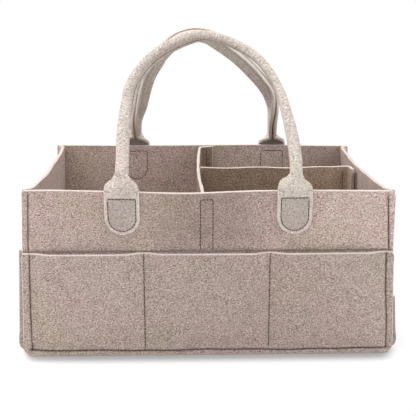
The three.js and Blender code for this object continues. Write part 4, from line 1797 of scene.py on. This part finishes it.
    @staticmethod
    def on_tab(sheet: FeltSheet, points: Line, rising: int) -> SeamRun:
        """Lays a line over the outer face of a tab.

        Args:
            sheet: The handle's sheet.
            points: The line in the flat measure.
            rising: 1 where the flat measure rises up the tab, -1 where it falls.

        Returns:
            The run over the tab.
        """
        surface = (sheet.middle + sheet.normal * sheet.half[..., None]).reshape(-1, 3)
        normal = sheet.normal.reshape(-1, 3)
        grid = np.stack([sheet.along, sheet.up], -1).reshape(-1, 2)
        places, normals = [], []
        for spot in spread(points):
            gap = np.linalg.norm(grid - spot, axis=1)
            nearest = np.argsort(gap)[:4]
            weight = 1 / (gap[nearest] + 1e-5)
            weight /= weight.sum()
            left_over = rising * (spot - grid[nearest])
            shifted = surface[nearest] + np.stack([left_over[:, 0], np.zeros(4), left_over[:, 1]], -1)
            places.append(weight @ shifted)
            normals.append(weight @ normal[nearest])
        return SeamRun(np.array(places), np.array(normals))


def centripetal(points: np.ndarray, steps: int = 24) -> np.ndarray:
    """A smooth line through points, which are spaced by the root of their distances.

    Args:
        points: Rows of x, y, z and any other values, which are carried along.
        steps: How many rows are made for each point.

    Returns:
        The line's rows.
    """
    padded = np.concatenate([[2 * points[0] - points[1]], points, [2 * points[-1] - points[-2]]])
    line = []
    for k in range(1, len(padded) - 2):
        p = padded[k - 1:k + 3]
        gaps = np.sqrt(np.linalg.norm(np.diff(p[:, :3], axis=0), axis=1))
        t0, t1, t2, t3 = np.concatenate([[0], np.cumsum(gaps)])
        for t in np.linspace(t1, t2, steps, endpoint=False):
            a1 = ((t1 - t) * p[0] + (t - t0) * p[1]) / (t1 - t0)
            a2 = ((t2 - t) * p[1] + (t - t1) * p[2]) / (t2 - t1)
            a3 = ((t3 - t) * p[2] + (t - t2) * p[3]) / (t3 - t2)
            b1 = ((t2 - t) * a1 + (t - t0) * a2) / (t2 - t0)
            b2 = ((t3 - t) * a2 + (t - t1) * a3) / (t3 - t1)
            line.append(((t2 - t) * b1 + (t - t1) * b2) / (t2 - t1))
    return np.array([*line, points[-1]])


@dataclass
class Divider:
    """The lift-out divider: a centre sheet with folded end tabs and a cross sheet to the right wall.

    The form of each sheet is the seed of its felt's pattern, its rim's droop and the lift of its far end.
    """

    sizes: CaddySizes
    dresser: Dresser
    thickness: float = 0.0035
    x: float = -0.006
    bow: float = 0.0035
    cross_y: float = 0.0084
    cross_gap: float = 0.0002
    end_tab: float = 0.017
    fold_radius: float = 0.0055
    side_tab: float = 0.020
    side_seam: float = 0.0062
    seam_foot: float = 0.004
    path_step: float = 0.004
    level_step: float = 0.008
    centre_top: float = 0.003
    cross_top: float = 0.004
    stiff_foot: float = 0.06
    rim_wave: tuple[float, float] = (0.0006, 0.012)
    far_end: Slope = Slope(-0.045, -0.020)
    centre_form: Triple = (13.3, 0.0008, 0.0025)
    cross_form: Triple = (17.9, 0.0002, 0.0016)
    # painted shade on both divider sheets, fading out towards the cross sheet's right end
    shade: float = 0.34
    cross_fade: Slope = Slope(0.09, 0.16)
    # where the painted edge highlight is left off the tab's end below its top, where it stands in shade
    raw_end: Slope = Slope(-0.004, -0.0015, 0.9)
    raw_top: Slope = Slope(-0.010, -0.004)

    def limits(self) -> tuple[float, float, float, float]:
        """The divider's foot, its top, the end tabs' middle line and the side tab's middle line.

        Returns:
            The two heights, and the distances of the two lines from the caddy's middle.
        """
        low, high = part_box("centre_divider")
        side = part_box("cross_divider")[1].x
        return low.z, high.z, high.y - self.thickness / 2, side - self.thickness / 2

    def folded_path(self, corners: Line) -> np.ndarray:
        """A path through corners seen from above, each of them rounded.

        Args:
            corners: The path's corner points.

        Returns:
            Points along the rounded path, a few millimetres apart.
        """
        points = [np.array(corners[0], float)]
        for before, corner, after in zip(corners[:-2], corners[1:-1], corners[2:]):
            into, out = np.subtract(before, corner), np.subtract(after, corner)
            start, end = (corner + way * self.fold_radius / np.linalg.norm(way) for way in (into, out))
            for t in np.linspace(0, 1, 8):
                points.append((1 - t) ** 2 * start + 2 * t * (1 - t) * np.array(corner) + t * t * end)
        points.append(np.array(corners[-1], float))
        made = [points[0]]
        for start, end in zip(points[:-1], points[1:]):
            count = max(1, round(float(np.linalg.norm(end - start)) / self.path_step))
            made += [start + (end - start) * k / count for k in range(1, count + 1)]
        return np.array(made)

    def standing(self, name: str, path: np.ndarray, seams: list[Line], seed: float, droop: float,
                 lift: float) -> FeltSheet:
        """A sheet that stands on a path seen from above.

        Args:
            name: The piece's name.
            path: Points from above.
            seams: Sewn lines.
            seed: Moves the felt's pattern.
            droop: How far the rim sags between its ends.
            lift: How far the rim rises at its far end.

        Returns:
            The sheet, not yet built.
        """
        foot, top, _, _ = self.limits()
        levels = SPACING.stations(foot, top, self.level_step)
        along = distances(path)
        length = along[-1]
        flat_x, flat_z = np.meshgrid(along, levels)
        sag = droop * np.sin(math.pi * along / length) ** 2 + Wave(*self.rim_wave, phase=seed).of(along)
        sag -= lift * self.far_end.of(along - length)
        z = flat_z - sag[None, :] * ramp(flat_z, foot + self.stiff_foot, top)
        px, py = (np.tile(path[:, k], (len(levels), 1)) for k in range(2))
        lines = [SeamLine(line) for line in seams]
        sheet = FeltSheet(name, np.stack([px, py, z], -1), flat_x, flat_z, self.thickness, lines)
        sheet.grain_seed = seed
        return sheet

    def finish(self, name: str, sheet: FeltSheet) -> None:
        """Builds one of the two sheets and dresses it.

        Args:
            name: The CAD node that it stands for.
            sheet: The sheet.
        """
        foot, top, _, _ = self.limits()
        piece = self.dresser.dress(sheet.build(), "divider_felt", "divider", name)
        top - foot

    def build(self) -> None:
        """Makes both sheets and their stitches."""
        foot, top, line, side = self.limits()
        low = foot + self.seam_foot
        tab_end = self.x + self.end_tab
        swept = [(self.x - self.bow * (1 - ((y - self.cross_y) / line) ** 2), y)
                 for y in np.linspace(-line, line, 13)[1:-1]]
        turned = [[(tab_end, end), (self.x, end)] for end in (-line, line)]
        path = self.folded_path([*turned[0], *swept, *turned[1][::-1]])
        tab_seam = self.end_tab / 2
        seams = [[(x, low), (x, top - self.centre_top)] for x in (tab_seam, distances(path)[-1] - tab_seam)]
        centre = self.standing("centre_divider_felt", path, seams, *self.centre_form)
        # painted shade over the whole centre sheet
        centre.outer_shade = centre.inner_shade = np.full(centre.along.shape, self.shade)
        self.finish("centre_divider", centre)
        for end, seam in zip(("front", "back"), seams):
            self.dresser.sew(f"{end}_divider", [centre.track(seam, face) for face in Face], "divider")
        start = self.x - self.bow + self.thickness / 2 + self.sizes.gap + self.cross_gap
        tab_y = self.cross_y - self.side_tab
        path = self.folded_path([(start, self.cross_y), (side, self.cross_y), (side, tab_y)])
        length = distances(path)[-1]
        seam_x = length - self.side_tab - self.side_seam
        seam = [(seam_x, low), (seam_x, top - self.cross_top)]
        cross = self.standing("cross_divider_felt", path, [seam], *self.cross_form)
        # painted shade on the cross sheet, fading out towards its right end
        cross.outer_shade = cross.inner_shade = self.shade * (1 - self.cross_fade.of(cross.along))
        # no painted edge highlight on the tab's end below its top
        at_end = self.raw_end.of(cross.along - length)
        cross.edge_highlight_share = 1 - at_end * (1 - self.raw_top.of(cross.up - top))
        self.finish("cross_divider", cross)
        self.dresser.sew("cross_divider", [cross.track(seam, face) for face in Face], "divider")


@dataclass
class Strips:
    """The hook-and-loop strips between the divider and the walls."""

    dresser: Dresser
    corner: float = 0.0015
    bevel: float = 0.0003
    bevel_from: float = 50.0
    smooth_to: float = 40.0

    def build(self) -> None:
        """Makes each strip in the box of its CAD node."""
        for kind, body in (("loop", "caddy"), ("hook", "divider")):
            for place in ("front", "back", "side"):
                node = f"{place}_{kind}_strip"
                self.dresser.dress(self.strip(node), "fastening_strip", body, node)

    def strip(self, node: str) -> bpy.types.Object:
        """Models one strip: a slab with rounded corners and softened edges.

        Args:
            node: Its CAD node.

        Returns:
            The piece.
        """
        low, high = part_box(node)
        size = high - low
        bpy.ops.object.select_all(action="DESELECT")
        bpy.ops.mesh.primitive_cube_add(size=1, location=(low + high) / 2)
        piece = bpy.context.object
        piece.name = node.replace("_strip", "_tape")
        piece.data.name = piece.name
        piece.scale = size
        bpy.ops.object.transform_apply(location=True, rotation=True, scale=True)
        thin = 0 if size.x < size.y else 1
        across = [v.co[thin] for v in piece.data.vertices]
        select_only(piece, "EDGE", lambda edge: np.ptp([across[v] for v in edge.vertices]) > size[thin] / 2)
        bpy.ops.object.mode_set(mode="EDIT")
        bpy.ops.mesh.bevel(offset=self.corner, segments=4)
        bpy.ops.object.mode_set(mode="OBJECT")
        modifier = piece.modifiers.new("soft_edges", "BEVEL")
        modifier.width, modifier.segments = self.bevel, 2
        modifier.angle_limit = math.radians(self.bevel_from)
        bpy.ops.object.modifier_apply(modifier=modifier.name)
        bpy.ops.object.shade_smooth_by_angle(angle=math.radians(self.smooth_to))
        points = np.array([v.co for v in piece.data.vertices], float)
        piece.data.vertices.foreach_set("co", SETTLING.moved(points).astype(np.float32).ravel())
        return piece


@dataclass(frozen=True)
class Lamp:
    """One soft square lamp that faces the caddy."""

    name: str
    place: Triple
    size: float
    power: float
    colour: Colour
    aim: Triple = (0, 0, 0.12)

    def build(self) -> None:
        """Adds the lamp."""
        data = bpy.data.lights.new(self.name, "AREA")
        data.shape, data.size, data.energy, data.color = "SQUARE", self.size, self.power, self.colour
        lamp = bpy.data.objects.new(self.name, data)
        lamp.location = self.place
        toward = Vector(self.aim) - Vector(self.place)
        lamp.rotation_euler = toward.to_track_quat("-Z", "Y").to_euler()
        bpy.context.scene.collection.objects.link(lamp)


@dataclass
class Studio:
    """A white sweep of floor, soft lamps and the camera at the photograph's angle."""

    lens: float = 71.2
    place: Triple = (-0.0192, -0.9414, 0.37959)
    pitch: float = 0.2596
    yaw: float = -0.0224
    lamps: tuple[Lamp, ...] = (
        Lamp("key", (-0.9, -1.3, 1.7), 1.3, 6.6, (1.0, 0.985, 0.96)),
        Lamp("fill", (1.3, -0.7, 1.1), 1.2, 8.5, (0.97, 0.985, 1.0)),
        Lamp("top", (0.1, 0.3, 1.9), 1.5, 13.0, (1.0, 1.0, 1.0)),
        Lamp("side", (-1.1, 0.1, 1.3), 1.2, 15.0, (1.0, 0.99, 0.97)),
    )
    surround: Colour = (0.95, 0.97, 1.0)
    surround_power: float = 0.76
    floor_drop: float = 0.0004
    floor_grey: float = 0.93
    # the grey of the painted shadow round the caddy's foot
    painted_shadow_grey: float = 0.48
    footprint: tuple[float, float] = (0.180, 0.125)
    white_range: tuple[float, float] = (0.004, 0.055)
    # where the painted shadow round the foot fades out
    painted_shadow_range: tuple[float, float] = (0.026, 0.006)

    def build(self) -> None:
        """Sets up the camera, lamps, world and floor."""
        self.camera()
        for lamp in self.lamps:
            lamp.build()
        self.world()
        self.floor()
        bpy.context.scene.view_settings.view_transform = "Standard"

    def camera(self) -> None:
        """Places the camera where the photograph was taken from."""
        data = bpy.data.cameras.new("camera")
        data.lens = self.lens
        camera = bpy.data.objects.new("camera", data)
        camera.location = self.place
        camera.rotation_euler = (math.pi / 2 - self.pitch, 0, self.yaw)
        bpy.context.scene.collection.objects.link(camera)
        bpy.context.scene.camera = camera

    def world(self) -> None:
        """A pale surround that is white behind the caddy."""
        net = ShaderNet(bpy.data.worlds.new("surround"))
        inputs = {"Color": (*self.surround, 1), "Strength": self.surround_power}
        soft = net.node("ShaderNodeBackground", None, inputs).out(0)
        white = net.node("ShaderNodeBackground", None, {"Color": WHITE}).out(0)
        net.node("ShaderNodeOutputWorld", None, {"Surface": net.mixed(net.seen(), soft, white)})
        bpy.context.scene.world = net.owner

    def floor(self) -> None:
        """A pale floor that keeps the caddy's soft shadow, has a painted shadow close round the caddy's foot,
        and turns white farther off.
        """
        bpy.ops.object.select_all(action="DESELECT")
        bpy.ops.mesh.primitive_plane_add(size=12, location=(0, 0, -self.floor_drop))
        floor = bpy.context.object
        floor.name = "floor"
        net = ShaderNet(bpy.data.materials.new("floor"))
        plain, painted_shadow = (net.node("ShaderNodeBsdfDiffuse", None, {"Color": (grey, grey, grey, 1)}).out(0)
                         for grey in (self.floor_grey, self.painted_shadow_grey))
        glow = net.node("ShaderNodeEmission", None, {"Color": WHITE, "Strength": 1.0}).out(0)
        off = net.coordinates()
        nothing = (0, 0, 0)
        steps = (("ABSOLUTE", nothing), ("SUBTRACT", (*self.footprint, 0)), ("MAXIMUM", nothing))
        for operation, other in steps:
            off = net.node("ShaderNodeVectorMath", {"operation": operation}, {0: off, 1: other}).out("Vector")
        away = net.node("ShaderNodeVectorMath", {"operation": "LENGTH"}, {0: off}).out("Value")
        seen = net.seen()
        # painted shadow: the camera sees a darker floor close round the caddy's foot
        with_painted_shadow = net.mixed(seen * net.step(away, *self.painted_shadow_range), plain, painted_shadow)
        surface = net.mixed(seen * net.step(away, *self.white_range), with_painted_shadow, glow)
        net.node("ShaderNodeOutputMaterial", None, {"Surface": surface})
        floor.data.materials.append(net.owner)


def main() -> None:
    """Builds the caddy piece by piece and reports each one."""
    logging.basicConfig(level=logging.INFO, format="%(message)s")
    Studio().build()
    sizes = CaddySizes.from_frame()
    dresser = Dresser(Stitcher(), Finishes())
    shell = Shell(sizes, dresser)
    shell.build()
    for front in (True, False):
        Handle(sizes, dresser, shell.sheets, front).build()
    Divider(sizes, dresser).build()
    Strips(dresser).build()
    LOG.info("%d pieces", dresser.count)


if __name__ == "__main__":
    main()
